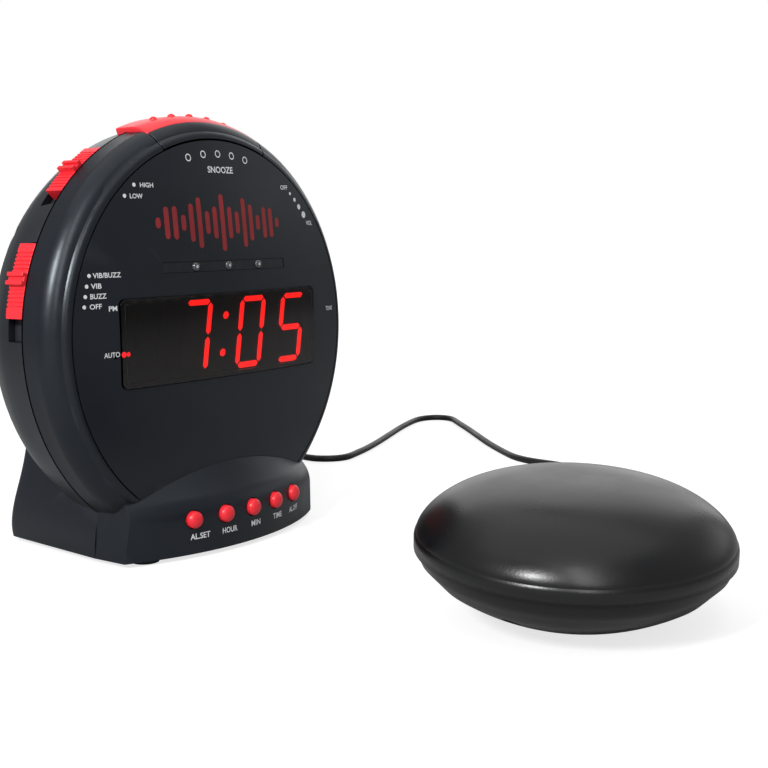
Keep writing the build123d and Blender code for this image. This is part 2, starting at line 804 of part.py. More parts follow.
# Snooze: a black saddle of the rim that carries the red cap and presses one switch
with BuildPart() as snooze_bar:
    with BuildSketch(profile_plane):
        with BuildLine():
            ThreePointArc((0, face_r), (bead_bulge_y, bead_bulge_r), (bead_y, bead_r))
            ThreePointArc((bead_y, bead_r), (shoulder_y, shoulder_r), (side_y, side_r))
            Polyline((side_y, side_r), (seam_y, drum_r), (seam_y, inner_r),
                     (panel_t + snug_gap + ledge_t, inner_r - wall), (panel_t + snug_gap, face_r), (0, face_r))
        make_face()
    revolve(axis=drum_axis)
    add(rim_sector(face_r + snooze_lip_gap, drum_r + overrun, 90 - snooze_half_deg,
                   90 + snooze_half_deg, -overrun, seam_y), mode=Mode.INTERSECT)
    add(rim_sector(cap_in_r, drum_r + overrun, 90 - snooze_half_deg - snooze_gap_deg,
                   90 + snooze_half_deg + snooze_gap_deg, cap_front_y - snug_gap, seam_y + overrun),
        mode=Mode.SUBTRACT)
    add(rim_sector(cap_in_r - wall, cap_in_r, 90 - snooze_half_deg, 90 + snooze_half_deg,
                   cap_front_y, cap_back_y - run_gap))
    with BuildSketch(level(axis_h + cap_in_r - wall / 2)):
        with Locations((0, cap_back_y - run_gap - wall / 2)):
            Rectangle(switch_w, wall)
    extrude(amount=-(cap_in_r - wall / 2 - tab_r))
snooze_bar.part.label = "snooze_bar"

with BuildPart() as snooze_cap:
    with BuildSketch(profile_plane):
        with BuildLine():
            Line((cap_front_y, cap_in_r), (cap_front_y, cap_lip_r))
            ThreePointArc((cap_front_y, cap_lip_r), (cap_slope_y, cap_slope_r), (cap_crown_y, cap_out_r))
            Polyline((cap_crown_y, cap_out_r), (cap_back_y, cap_out_r), (cap_back_y, cap_in_r),
                     (cap_front_y, cap_in_r))
        make_face()
    revolve(axis=drum_axis)
    add(rim_sector(cap_in_r - overrun, cap_out_r + overrun, 90 - snooze_half_deg, 90 + snooze_half_deg,
                   cap_front_y - overrun, cap_back_y + overrun), mode=Mode.INTERSECT)
    top_edges = snooze_cap.edges().filter_by(
        lambda edge: (edge @ 0.5).Y > face_y + cap_front_y + cap_edge
        and hypot((edge @ 0.5).X, (edge @ 0.5).Z - axis_h) > cap_lip_r)
    fillet(top_edges.filter_by(lambda edge: (edge @ 0.5).Y > face_y + cap_crown_y + cap_edge), radius=cap_edge)
    for step in range(-2, 3):
        with Locations(spoke(90 + step * bump_step_deg, cap_out_r + bump_rise - bump_r, bump_y)):
            Sphere(bump_r)
snooze_cap.part.label = "snooze_cap"


# Sliders: a ribbed plate with a double fin, on a flange that runs inside the shell

def rim_slider(from_deg, to_deg, grip_deg):
    """A slider that lies in the rim between two angles, with its grip at a third."""
    flange_out_r = drum_back_r - wall
    first_rib = fin_deg + fin_space_deg / 2 + rib_deg
    ribs = [rim_sector(slider_out_r - rib_cut, slider_out_r + overrun,
                       grip_deg + side * (first_rib + rib * rib_deg) - rib_cut_deg / 2,
                       grip_deg + side * (first_rib + rib * rib_deg) + rib_cut_deg / 2,
                       slider_from_y - overrun, slider_to_y + overrun)
            for side in (-1, 1) for rib in range(rib_count)]
    with BuildPart() as slider:
        add(rim_sector(flange_out_r, slider_out_r, from_deg, to_deg, slider_from_y, slider_to_y))
        add(ribs, mode=Mode.SUBTRACT)
        add(rim_sector(flange_out_r - flange_t, flange_out_r, from_deg - slot_end_gap, to_deg + slot_end_gap,
                       slider_from_y - flange_over, slider_to_y + flange_over))
        for side in (-1, 1):
            inner_deg = grip_deg + side * fin_space_deg / 2
            add(rim_sector(slider_out_r - rib_cut, slider_out_r + fin_h, min(inner_deg, inner_deg + side * fin_deg),
                           max(inner_deg, inner_deg + side * fin_deg), slider_from_y, slider_to_y))
        add(rim_sector(slider_out_r - rib_cut, slider_out_r + fin_h / 2, grip_deg - fin_space_deg / 2,
                       grip_deg + fin_space_deg / 2, slider_from_y, slider_to_y))
        add(rim_sector(tab_r, flange_out_r - flange_t, grip_deg - tab_deg / 2, grip_deg + tab_deg / 2,
                       tab_from_y, tab_to_y))
    return slider.part


with BuildPart() as mode_slider:
    add(rim_slider(mode_from_deg, mode_to_deg, mode_grip_deg))
mode_slider.part.label = "mode_slider"

with BuildPart() as dimmer_slider:
    add(rim_slider(dimmer_from_deg, dimmer_to_deg, dimmer_grip_deg))
dimmer_slider.part.label = "dimmer_slider"

with BuildPart() as slide_switches:
    for grip_deg, travel_deg in ((mode_grip_deg, mode_travel_deg), (dimmer_grip_deg, dimmer_travel_deg)):
        middle_deg = grip_deg + travel_deg / 2
        add(rim_sector(switch_in_r, tab_r - run_gap, middle_deg - switch_deg / 2, middle_deg + switch_deg / 2,
                       tab_from_y, ring_board_y))
slide_switches.part.label = "slide_switches"

# Thumbwheels and the round controls that they turn
wheels = {}
for wheel_name, angle in (("volume_wheel", volume_deg), ("tone_wheel", tone_deg)):
    middle = round_point(wheel_circle_r, angle)
    with BuildPart() as wheel:
        with BuildSketch(facing(wheel_y)):
            with Locations(middle):
                Circle(wheel_r)
                with PolarLocations(wheel_r, wheel_teeth):
                    Circle(wheel_tooth_r, mode=Mode.SUBTRACT)
        extrude(amount=-wheel_t)
        with BuildSketch(facing(wheel_y + wheel_t)):
            with Locations(middle):
                Circle(wheel_shaft_r)
        extrude(amount=-wheel_shaft_l)
    wheel.part.label = wheel_name
    wheels[wheel_name] = wheel

with BuildPart() as turning_controls:
    with BuildSketch(facing(wheel_y + wheel_t + run_gap)):
        with Locations(round_point(wheel_circle_r, volume_deg), round_point(wheel_circle_r, tone_deg)):
            Circle(pot_r)
            Circle(wheel_shaft_r + shaft_gap, mode=Mode.SUBTRACT)
    extrude(amount=wheel_y + wheel_t + run_gap - ring_board_y)
turning_controls.part.label = "turning_controls"

with BuildPart() as snooze_switch:
    with BuildSketch(level(axis_h + tab_r - snooze_switch_gap)):
        with Locations((0, ring_board_y - snooze_switch_l / 2)):
            Rectangle(switch_w, snooze_switch_l)
    extrude(amount=-switch_t)
snooze_switch.part.label = "snooze_switch"

with BuildPart() as control_board:
    with BuildSketch(facing(ring_board_y)):
        Circle(ring_board_out_r)
        Circle(ring_board_in_r, mode=Mode.SUBTRACT)
        with Locations(*[round_point(boss_circle_r, angle) for angle in boss_angles]):
            Circle(boss_r + run_gap, mode=Mode.SUBTRACT)
    extrude(amount=-board_t)
control_board.part.label = "control_board"

# The five buttons, their switches and the rail that carries them
button_names = ("alarm_set_button", "hour_button", "minute_button", "time_button", "alarm_off_button")
flange_front_r = hood_r - wall - button_flange_in
stem_end_r = flange_front_r - button_flange_t - button_stem_l
switch_front_r = stem_end_r - switch_gap
rail_front_r = switch_front_r - switch_t
buttons = {}
for button_name, angle in zip(button_names, button_angles):
    with BuildPart() as button:
        with BuildSketch(button_plane(angle, flange_front_r)):
            Circle(button_r)
        extrude(amount=hood_r + button_proud + button_dome - flange_front_r)
        fillet(button.edges().group_by(Axis.Y)[0], radius=button_dome)
        with BuildSketch(button_plane(angle, flange_front_r)):
            Circle(button_flange_r)
        extrude(amount=-button_flange_t)
        with BuildSketch(button_plane(angle, flange_front_r - button_flange_t)):
            Circle(button_stem_r)
        extrude(amount=-button_stem_l)
    button.part.label = button_name
    buttons[button_name] = button

with BuildPart() as button_switches:
    for angle in button_angles:
        with BuildSketch(button_plane(angle, switch_front_r)):
            Rectangle(switch_w, switch_w)
        extrude(amount=-switch_t)
button_switches.part.label = "button_switches"

with BuildPart() as switch_rail:
    with BuildSketch(Plane(origin=(0, face_y + hood_axis_y, pad_h + wall))):
        with BuildLine():
            front = CenterArc((0, 0), rail_front_r, 270 - rail_half_deg, 2 * rail_half_deg)
            rear = CenterArc((0, 0), rail_front_r - rail_t, 270 - rail_half_deg, 2 * rail_half_deg)
            Line(front @ 0, rear @ 0)
            Line(front @ 1, rear @ 1)
        make_face()
    extrude(amount=hood_h + rail_h / 2 - pad_h - wall)
switch_rail.part.label = "switch_rail"

# Speaker
speaker_y = back_y - wall - snug_gap
speaker_frame_part = turned([
    (speaker_y, cone_r + cone_t), (speaker_y, speaker_r), (speaker_y - speaker_flange_t, speaker_r),
    (speaker_y - speaker_flange_t, cone_r + 3 * cone_t), (basket_y, basket_r + cone_t), (basket_y, 0),
    (basket_y + cone_t, 0), (basket_y + cone_t, basket_r - cone_t),
    (speaker_y - speaker_flange_t + cone_t, cone_r + cone_t)])
with BuildPart() as speaker_frame:
    add(speaker_frame_part)
speaker_frame.part.label = "speaker_frame"

with BuildPart() as speaker_cone:
    add(turned([(speaker_y - cone_t / 2, cone_r + cone_t - snug_gap),
                (speaker_y - cone_t * 3 / 2, cone_r + cone_t - snug_gap),
                (basket_y + 2 * cone_t, dust_cap_r), (basket_y + 2 * cone_t, 0),
                (basket_y + 5 * cone_t, 0), (basket_y + 3 * cone_t, dust_cap_r),
                (speaker_y - cone_t / 2, cone_r - cone_t)]))
speaker_cone.part.label = "speaker_cone"

with BuildPart() as speaker_magnet:
    with BuildSketch(facing(basket_y)):
        Circle(magnet_r)
    extrude(amount=magnet_t)
speaker_magnet.part.label = "speaker_magnet"

with BuildPart() as speaker_screws:
    places = [round_point(speaker_screw_circle_r, angle) for angle in boss_angles]
    with BuildSketch(facing(speaker_y - speaker_flange_t - snug_gap)):
        with Locations(*places):
            Circle(speaker_screw_head_r)
    extrude(amount=speaker_screw_head_t)
    with BuildSketch(facing(speaker_y - speaker_flange_t - snug_gap)):
        with Locations(*places):
            Circle(speaker_screw_r)
    extrude(amount=-(speaker_flange_t + wall / 2 + snug_gap))
speaker_screws.part.label = "speaker_screws"

# Battery, its door and its snap clip
with BuildPart() as battery_door:
    with BuildSketch(level(pad_h)):
        with Locations((0, (door_from_y + pedestal_back_y - snug_gap) / 2)):
            Rectangle(door_w, pedestal_back_y - snug_gap - door_from_y)
    extrude(amount=door_t)
    with BuildSketch(level(pad_h + door_t / 3 + snug_gap)):
        with Locations((0, (door_from_y + pedestal_back_y - wall) / 2)):
            Rectangle(door_w + 2 * door_tongue, pedestal_back_y - wall - door_from_y)
    extrude(amount=door_t / 3)
    with BuildSketch(level(pad_h)):
        with Locations((0, pedestal_back_y - 3 * wall), (0, pedestal_back_y - 4 * wall),
                       (0, pedestal_back_y - 5 * wall)):
            Rectangle(door_w / 4, wall / 3)
    extrude(amount=door_t / 3, mode=Mode.SUBTRACT)
battery_door.part.label = "battery_door"

battery_low = pad_h + wall
terminal_places = [(battery_y + side * terminal_spread, battery_low + battery_t / 2) for side in (-1, 1)]
battery_end = Plane(origin=(-battery_l / 2, face_y, 0), x_dir=(0, 1, 0), z_dir=(-1, 0, 0))
with BuildPart() as backup_battery:
    with BuildSketch(level(battery_low)):
        with Locations((0, battery_y)):
            RectangleRounded(battery_l, battery_w, door_t)
    extrude(amount=battery_t)
    with BuildSketch(battery_end):
        with Locations(*[(depth, -height) for depth, height in terminal_places]):
            Circle(terminal_r)
    extrude(amount=terminal_l)
backup_battery.part.label = "backup_battery"

with BuildPart() as battery_clip:
    with BuildSketch(battery_end.offset(snug_gap)):
        with Locations((battery_y, -(battery_low + battery_t / 2))):
            Rectangle(battery_w - door_t, battery_t - door_t)
        with Locations(*[(depth, -height) for depth, height in terminal_places]):
            Circle(terminal_r + snug_gap, mode=Mode.SUBTRACT)
    extrude(amount=clip_t)
battery_clip.part.label = "battery_clip"

# Sockets in the pedestal
def socket(x):
    """The square body of a socket, facing back."""
    with BuildPart() as body:
        with BuildSketch(facing(socket_back_y)):
            with Locations((x, socket_h - axis_h)):
                Rectangle(socket_w, socket_w)
        extrude(amount=socket_l)
    return body.part


with BuildPart() as power_inlet:
    add(socket(power_x))
    with BuildSketch(facing(socket_back_y)):
        with Locations((power_x, socket_h - axis_h)):
            Circle(power_r)
    extrude(amount=power_mouth, mode=Mode.SUBTRACT)
    with BuildSketch(facing(socket_back_y - power_mouth)):
        with Locations((power_x, socket_h - axis_h)):
            Circle(power_deep_r)
            Circle(power_pin_r, mode=Mode.SUBTRACT)
    extrude(amount=power_deep - power_mouth, mode=Mode.SUBTRACT)
power_inlet.part.label = "power_inlet"

with BuildPart() as lead_jack:
    add(socket(lead_jack_x))
    with BuildSketch(facing(socket_back_y)):
        with Locations((lead_jack_x, socket_h - axis_h)):
            Circle(lead_jack_r)
    extrude(amount=lead_jack_deep, mode=Mode.SUBTRACT)
lead_jack.part.label = "lead_jack"

with BuildPart() as lead_plug:
    plug_place = (lead_jack_x, socket_h - axis_h)
    with BuildSketch(facing(socket_back_y + snug_gap)):
        with Locations(plug_place):
            Circle(plug_tip_r)
    extrude(amount=plug_tip_l)
    with BuildSketch(facing(socket_back_y + snug_gap)):
        with Locations(plug_place):
            Circle(plug_r)
    extrude(amount=-plug_l)
    with BuildSketch(facing(socket_back_y + snug_gap + plug_l)):
        with Locations(plug_place):
            Circle(plug_r * 0.8)
    with BuildSketch(facing(socket_back_y + snug_gap + plug_l + plug_tail_l)):
        with Locations(plug_place):
            Circle(plug_tail_r)
    loft()
lead_plug.part.label = "lead_plug"

# Screws and pads
with BuildPart() as case_screws:
    places = [round_point(boss_circle_r, angle) for angle in boss_angles]
    with BuildSketch(facing(screw_well_y)):
        with Locations(*places):
            Circle(screw_head_r)
            RegularPolygon(screw_r, 6, mode=Mode.SUBTRACT)
    extrude(amount=-screw_head_t)
    with BuildSketch(facing(screw_well_y + screw_head_t / 3)):
        with Locations(*places):
            Circle(screw_r)
    extrude(amount=screw_well_y + screw_head_t / 3 - boss_split_y + screw_bite - snug_gap)
case_screws.part.label = "case_screws"

with BuildPart() as rubber_pads:
    with BuildSketch(level(0)):
        with Locations((-pad_front_x, pad_front_y), (pad_front_x, pad_front_y),
                       (-pad_back_x, pad_back_y), (pad_back_x, pad_back_y)):
            Circle(pad_r)
    extrude(amount=pad_h + pad_sink)
rubber_pads.part.label = "rubber_pads"

# The shaker puck, in its own frame: x along its lead, leaning with the side that the lead holds up
lean, heading = radians(puck_lean), radians(puck_heading)
puck_frame = Plane(origin=(puck_x, puck_y, puck_flat_r * sin(lean)),
                   x_dir=(cos(lean) * sin(heading), cos(lean) * cos(heading), sin(lean)),
                   z_dir=(-sin(lean) * sin(heading), -sin(lean) * cos(heading), cos(lean)))


def in_puck(x=0, y=0, height=0):
    """A point of the puck's frame, on the table's axes."""
    return puck_frame.from_local_coords((x, y, height))


def puck_level(height):
    """The puck's own level plane at a height."""
    return Plane(origin=in_puck(0, 0, height), x_dir=puck_frame.x_dir, z_dir=puck_frame.z_dir)


puck_profile = Plane(origin=puck_frame.origin, x_dir=puck_frame.x_dir, z_dir=puck_frame.y_dir * -1)
puck_axis = Axis(puck_frame.origin, puck_frame.z_dir)
puck_lower_r = (puck_bowl_top_r + puck_skirt_r) / 2 - puck_step / 2
puck_skirt_h = puck_edge_h - 2 * puck_step


def hollowed(radius, height):
    """The point of the inner surface that goes with a point of the outer one."""
    return (radius * (puck_r - puck_wall) / puck_r, puck_wall + height * (puck_h - 2 * puck_wall) / puck_h)


def outside(radius, height):
    """The point of the outer surface itself."""
    return (radius, height)


def puck_bowl(surface, beyond=0):
    """The lower half's turned shape, up to the seam or beyond it."""
    with BuildPart() as half:
        with BuildSketch(puck_profile):
            with BuildLine():
                Line(surface(0, 0), surface(puck_flat_r, 0))
                ThreePointArc(surface(puck_flat_r, 0), surface(puck_bowl_mid_r, puck_bowl_mid_h),
                              surface(puck_bowl_r, puck_bowl_h))
                Polyline(surface(puck_bowl_r, puck_bowl_h), surface(puck_bowl_top_r, puck_bowl_top_h),
                         surface(puck_lower_r, puck_seam_h + beyond), surface(0, puck_seam_h + beyond),
                         surface(0, 0))
            make_face()
        revolve(axis=puck_axis)
    return half.part


def puck_dome(surface, beyond=0):
    """The upper half's turned shape: the skirt, its crease and the dome."""
    with BuildPart() as half:
        with BuildSketch(puck_profile):
            with BuildLine():
                Polyline(surface(0, puck_seam_h - beyond), surface(puck_lower_r + puck_step, puck_seam_h - beyond),
                         surface(puck_skirt_r, puck_skirt_h), surface(puck_r, puck_edge_h))
                ThreePointArc(surface(puck_r, puck_edge_h), surface(puck_edge_mid_r, puck_edge_mid_h),
                              surface(puck_edge_top_r, puck_edge_top_h))
                ThreePointArc(surface(puck_edge_top_r, puck_edge_top_h),
                              surface(puck_brow_r, puck_brow_h), surface(puck_dome_mid_r, puck_dome_mid_h))
                ThreePointArc(surface(puck_dome_mid_r, puck_dome_mid_h),
                              surface(puck_crown_mid_r, puck_crown_mid_h), surface(puck_crown_r, puck_h))
                Line(surface(puck_crown_r, puck_h), surface(0, puck_h))
                Line(surface(0, puck_h), surface(0, puck_seam_h - beyond))
            make_face()
        revolve(axis=puck_axis)
    return half.part


puck_post_places = [round_point(puck_post_circle_r, angle) for angle in puck_screw_angles]
clamp_post_y = motor_r + clamp_t + clamp_post_r
clamp_post_places = [(motor_shift, clamp_post_y), (motor_shift, -clamp_post_y)]
shaft_start = motor_shift + motor_l / 2
along_puck = Plane(origin=in_puck(0, 0, motor_h), x_dir=puck_frame.y_dir, z_dir=puck_frame.x_dir)
boot_start = Plane(origin=in_puck(puck_skirt_r, 0, puck_seam_h), x_dir=puck_frame.y_dir, z_dir=puck_frame.x_dir)

boot_hole = rod(boot_start.offset(-2 * overrun), boot_r + snug_gap, 3 * overrun)

# The hollows of both halves, round the posts that stand in them
with BuildPart() as bowl_hollow:
    add(puck_bowl(hollowed, overrun))
    with BuildSketch(puck_level(0)):
        with Locations(*puck_post_places):
            Circle(puck_post_r)
    extrude(amount=puck_seam_h, mode=Mode.SUBTRACT)
    with BuildSketch(puck_level(0)):
        with Locations(*clamp_post_places):
            Circle(clamp_post_r)
    extrude(amount=motor_h, mode=Mode.SUBTRACT)

with BuildPart() as dome_hollow:
    add(puck_dome(hollowed, overrun))
    with BuildSketch(puck_level(puck_seam_h)):
        with Locations(*puck_post_places):
            Circle(puck_post_r)
    extrude(amount=puck_h, mode=Mode.SUBTRACT)

with BuildPart() as shaker_bottom:
    add(puck_bowl(outside))
    add(bowl_hollow.part, mode=Mode.SUBTRACT)
    with BuildSketch(puck_level(puck_seam_h - puck_tongue_h)):
        Circle(puck_lower_r - puck_wall)
        Circle(puck_lower_r - puck_wall - puck_tongue_t, mode=Mode.SUBTRACT)
    extrude(amount=2 * puck_tongue_h)
    with BuildSketch(puck_level(0)):
        with Locations(*puck_post_places):
            Circle(puck_screw_head_r + snug_gap)
    extrude(amount=puck_screw_well_h, mode=Mode.SUBTRACT)
    with BuildSketch(puck_level(0)):
        with Locations(*puck_post_places):
            Circle(puck_screw_r + snug_gap)
    extrude(amount=puck_seam_h + puck_tongue_h, mode=Mode.SUBTRACT)
    with BuildSketch(puck_level(motor_h)):
        with Locations(*clamp_post_places):
            Circle(clamp_screw_r + snug_gap / 2)
    extrude(amount=-clamp_screw_bite - snug_gap, mode=Mode.SUBTRACT)
    add(boot_hole, mode=Mode.SUBTRACT)
shaker_bottom.part.label = "shaker_bottom"

with BuildPart() as shaker_top:
    add(puck_dome(outside))
    add(dome_hollow.part, mode=Mode.SUBTRACT)
    with BuildSketch(puck_level(puck_seam_h)):
        with Locations(*puck_post_places):
            Circle(puck_screw_r + snug_gap / 2)
    extrude(amount=puck_screw_bite + snug_gap, mode=Mode.SUBTRACT)
    add(boot_hole, mode=Mode.SUBTRACT)
shaker_top.part.label = "shaker_top"

with BuildPart() as shaker_screws:
    with BuildSketch(puck_level(puck_screw_well_h)):
        with Locations(*puck_post_places):
            Circle(puck_screw_head_r)
            RegularPolygon(puck_screw_r, 6, mode=Mode.SUBTRACT)
    extrude(amount=-puck_screw_head_t)
    with BuildSketch(puck_level(puck_screw_well_h - puck_screw_head_t / 3)):
        with Locations(*puck_post_places):
            Circle(puck_screw_r)
    extrude(amount=puck_seam_h + puck_screw_bite - puck_screw_well_h + puck_screw_head_t / 3)
shaker_screws.part.label = "shaker_screws"

with BuildPart() as shaker_motor:
    add(rod(along_puck.offset(motor_shift - motor_l / 2), motor_r, motor_l))
    add(rod(along_puck.offset(shaft_start), motor_shaft_r, motor_shaft_l))
shaker_motor.part.label = "shaker_motor"

with BuildPart() as motor_clamp:
    with BuildSketch(along_puck.offset(motor_shift - clamp_w / 2)):
        Circle(motor_r + snug_gap + clamp_t)
        Circle(motor_r + snug_gap, mode=Mode.SUBTRACT)
    extrude(amount=clamp_w)
    with BuildSketch(puck_level(motor_h)):
        with Locations((motor_shift, 0)):
            Rectangle(clamp_w, 2 * (clamp_post_y + clamp_post_r))
    extrude(amount=clamp_t)
    add(rod(along_puck.offset(motor_shift - motor_l / 2), motor_r + snug_gap, motor_l), mode=Mode.SUBTRACT)
    with BuildSketch(puck_level(motor_h)):
        Circle(puck_r)
    extrude(amount=-puck_h, mode=Mode.SUBTRACT)
    with BuildSketch(puck_level(motor_h)):
        with Locations(*clamp_post_places):
            Circle(clamp_screw_r + snug_gap)
    extrude(amount=2 * clamp_t, mode=Mode.SUBTRACT)
motor_clamp.part.label = "motor_clamp"

with BuildPart() as clamp_screws:
    with BuildSketch(puck_level(motor_h + clamp_t)):
        with Locations(*clamp_post_places):
            Circle(clamp_screw_head_r)
    extrude(amount=clamp_t)
    with BuildSketch(puck_level(motor_h + clamp_t)):
        with Locations(*clamp_post_places):
            Circle(clamp_screw_r)
    extrude(amount=-clamp_t - clamp_screw_bite)
clamp_screws.part.label = "clamp_screws"

with BuildPart() as eccentric_weight:
    with BuildSketch(along_puck.offset(shaft_start + weight_gap)):
        Circle(weight_r)
        with Locations((0, weight_r / 2 + weight_hub_r / 2)):
            Rectangle(2 * weight_r, weight_r + weight_hub_r / 2, mode=Mode.SUBTRACT)
        Circle(weight_hub_r)
        Circle(motor_shaft_r + shaft_gap, mode=Mode.SUBTRACT)
    extrude(amount=weight_t)
eccentric_weight.part.label = "eccentric_weight"

with BuildPart() as shaker_boot:
    add(rod(boot_start.offset(-boot_in), boot_r, boot_in))
    add(rod(boot_start.offset(-boot_in - boot_inner_l), boot_collar_r, boot_inner_l))
    with BuildSketch(boot_start):
        Circle(boot_r)
    with BuildSketch(boot_start.offset(boot_l)):
        Circle(boot_tip_r)
    loft()
shaker_boot.part.label = "shaker_boot"

# The lead: from the plug to the coil, the coil itself, and from the coil to the puck

def unit(vector):
    """The vector at length one."""
    return vector * (1 / vector.length)


def bend_radius(before, corner, after):
    """The radius of the lead's bend at a corner, from the shorter of its two runs."""
    run_in, run_out = corner - before, after - corner
    turn = unit(run_in).get_angle(unit(run_out))
    return bend_share * min(run_in.length, run_out.length) / tan(radians(turn / 2))


def lead_run(points):
    """A round lead along a line of points, each corner bent to its own radius."""
    corners = [Vector(*point) for point in points]
    with BuildPart() as run:
        with BuildLine() as path:
            here = corners[0]
            for before, corner, after in zip(corners, corners[1:], corners[2:]):
                radius = bend_radius(before, corner, after)
                run_in, run_out = unit(corner - before), unit(after - corner)
                half_turn = radians(run_in.get_angle(run_out) / 2)
                cut_back = radius * tan(half_turn)
                to_middle = unit(run_out - run_in) * (radius / cos(half_turn) - radius)
                Line(here, corner - run_in * cut_back)
                ThreePointArc(corner - run_in * cut_back, corner + to_middle, corner + run_out * cut_back)
                here = corner + run_out * cut_back
                print("bend radius", round(radius, 1), "at", [round(share, 1) for share in corner])
            Line(here, corners[-1])
        with BuildSketch(Plane(origin=corners[0], z_dir=corners[1] - corners[0])):
            Circle(lead_r)
        sweep()
        print("length of the run", round(sum(edge.length for edge in path.edges()), 1),
              "volume over section", round(run.part.volume / (pi * lead_r ** 2), 1))
    return run.part


coil_top = lead_r + (coil_layers - 1) * coil_pitch_up
coil_out_r = coil_in_r + coil_half_turns * coil_pitch / 2
boot_tip = in_puck(puck_skirt_r + boot_l, 0, puck_seam_h)
plug_end = (lead_jack_x, face_y + socket_back_y + snug_gap + plug_l + plug_tail_l, socket_h)

# Distances of the turns' crossings from the coil's middle, layer by layer from the top
crossings = [coil_out_r - turn * coil_pitch / 2 for turn in range(coil_half_turns + 1)]
coil_steps = []
for layer in range(coil_layers):
    height = coil_top - layer * coil_pitch_up
    coil_steps += [(distance, height) for distance in (crossings if layer % 2 == 0 else crossings[::-1])]

with BuildPart() as lead_coil:
    with BuildLine() as coil_path:
        side = -1
        for (near, height), (far, next_height) in zip(coil_steps, coil_steps[1:]):
            start = Vector(coil_x + side * near, coil_y, height)
            end = Vector(coil_x - side * far, coil_y, next_height)
            crest = (start + end) * 0.5 + Vector(0, -side * (end - start).length / 2, 0)
            ThreePointArc(start, crest, end)
            side = -side
    with BuildSketch(Plane(origin=(coil_x - coil_out_r, coil_y, coil_top), z_dir=(0, 1, 0))):
        RegularPolygon(lead_r, coil_section_sides)
    sweep()
print("coil length", round(sum(turn.length for turn in coil_path.edges()), 1))
lead_coil.part.label = "lead_coil"

with BuildPart() as lead_to_coil:
    add(lead_run([plug_end, *tail_corners, (coil_x - coil_out_r, coil_y, coil_top)]))
lead_to_coil.part.label = "lead_to_coil"

with BuildPart() as lead_to_shaker:
    add(lead_run([(coil_x + coil_out_r, coil_y, lead_r), *table_corners, *rise_corners, tuple(boot_tip)]))
lead_to_shaker.part.label = "lead_to_shaker"

for piece in (front_shell, rear_shell, face_panel, display_lens, display_module, lit_digits, unlit_digits,
              lamp_strip, status_lamps, alarm_lamp, main_board, control_board, snooze_bar, snooze_cap,
              snooze_switch, mode_slider, dimmer_slider, slide_switches, *wheels.values(), turning_controls,
              *buttons.values(), button_switches, switch_rail, speaker_frame, speaker_cone, speaker_magnet,
              speaker_screws, battery_door, backup_battery, battery_clip, power_inlet, lead_jack, lead_plug,
              case_screws, rubber_pads, shaker_bottom, shaker_top, shaker_screws, shaker_motor, motor_clamp,
              clamp_screws, eccentric_weight, shaker_boot, lead_to_coil, lead_coil, lead_to_shaker):
    export_step(piece.part, f"parts/{piece.part.label}.step")
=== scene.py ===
"""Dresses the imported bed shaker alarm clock: its skin, finishes, printing, lead and a pale studio."""
import json
from math import asin, cos, pi, radians, sin

import bmesh
import bpy
import numpy as np
from bpy.props import FloatProperty, FloatVectorProperty, PointerProperty
from bpy.types import Operator, Panel, PropertyGroup
from mathutils import Matrix, Vector


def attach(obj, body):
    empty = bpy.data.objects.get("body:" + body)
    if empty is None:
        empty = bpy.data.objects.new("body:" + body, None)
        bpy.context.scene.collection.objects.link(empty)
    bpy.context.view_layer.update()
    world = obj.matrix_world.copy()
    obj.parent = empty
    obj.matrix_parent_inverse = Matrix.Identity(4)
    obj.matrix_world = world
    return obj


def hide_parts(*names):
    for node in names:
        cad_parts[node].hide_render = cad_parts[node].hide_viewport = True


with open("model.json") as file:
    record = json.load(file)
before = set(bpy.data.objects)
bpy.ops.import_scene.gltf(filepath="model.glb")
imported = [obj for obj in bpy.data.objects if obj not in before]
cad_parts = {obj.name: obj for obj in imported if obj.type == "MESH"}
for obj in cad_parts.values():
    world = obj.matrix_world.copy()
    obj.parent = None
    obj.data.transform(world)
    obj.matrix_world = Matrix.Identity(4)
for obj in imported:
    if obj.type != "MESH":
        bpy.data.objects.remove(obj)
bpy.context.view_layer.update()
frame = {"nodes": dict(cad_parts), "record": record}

bl_info = {
    "name": "Bed shaker alarm clock",
    "version": (1, 0, 0),
    "blender": (4, 5, 0),
    "location": "3D View > Sidebar > Clock",
    "description": "Skin, finishes, printing, lead and studio of a bed shaker alarm clock",
    "category": "Object",
}

nodes = frame["nodes"]
mm = 0.001

# Where things are, in millimetres, as in the part's source
face_y, axis_h = 59.5, 72.5
face_r, dome_rise = 65.0, 5.1
hood_axis_y, hood_r = 80.3, 92.95
seam_y, drum_r = 14.4, 71.8
puck_lean, puck_heading, puck_low_r = 4.9, 45.0, 7.6
puck_origin = (-11.9, -80.3, puck_low_r * sin(radians(puck_lean)))
puck_r, puck_edge_h, puck_top_h, puck_seam_h = 43.2, 23.8, 38.6, 19.4
skirt_r, boot_l = 43.7, 15.0


class ClockColours(PropertyGroup):
    """Colours of the clock's own finishes."""
    body: FloatVectorProperty(name="Body", description="Moulded body plastic", subtype="COLOR",
                              size=3, min=0, max=1, default=(0.0060, 0.0078, 0.0120))
    red: FloatVectorProperty(name="Red", description="Red controls", subtype="COLOR",
                             size=3, min=0, max=1, default=(0.90, 0.026, 0.040))
    glow: FloatVectorProperty(name="Digits", description="Glow of the lit digits", subtype="COLOR",
                              size=3, min=0, max=1, default=(1.0, 0.012, 0.010))
    print_white: FloatVectorProperty(name="Printing", description="White lettering on the face", subtype="COLOR",
                                     size=3, min=0, max=1, default=(0.78, 0.80, 0.82))
    faded: FloatVectorProperty(name="Faded red", description="Sound level bars on the face", subtype="COLOR",
                               size=3, min=0, max=1, default=(0.31, 0.018, 0.022))


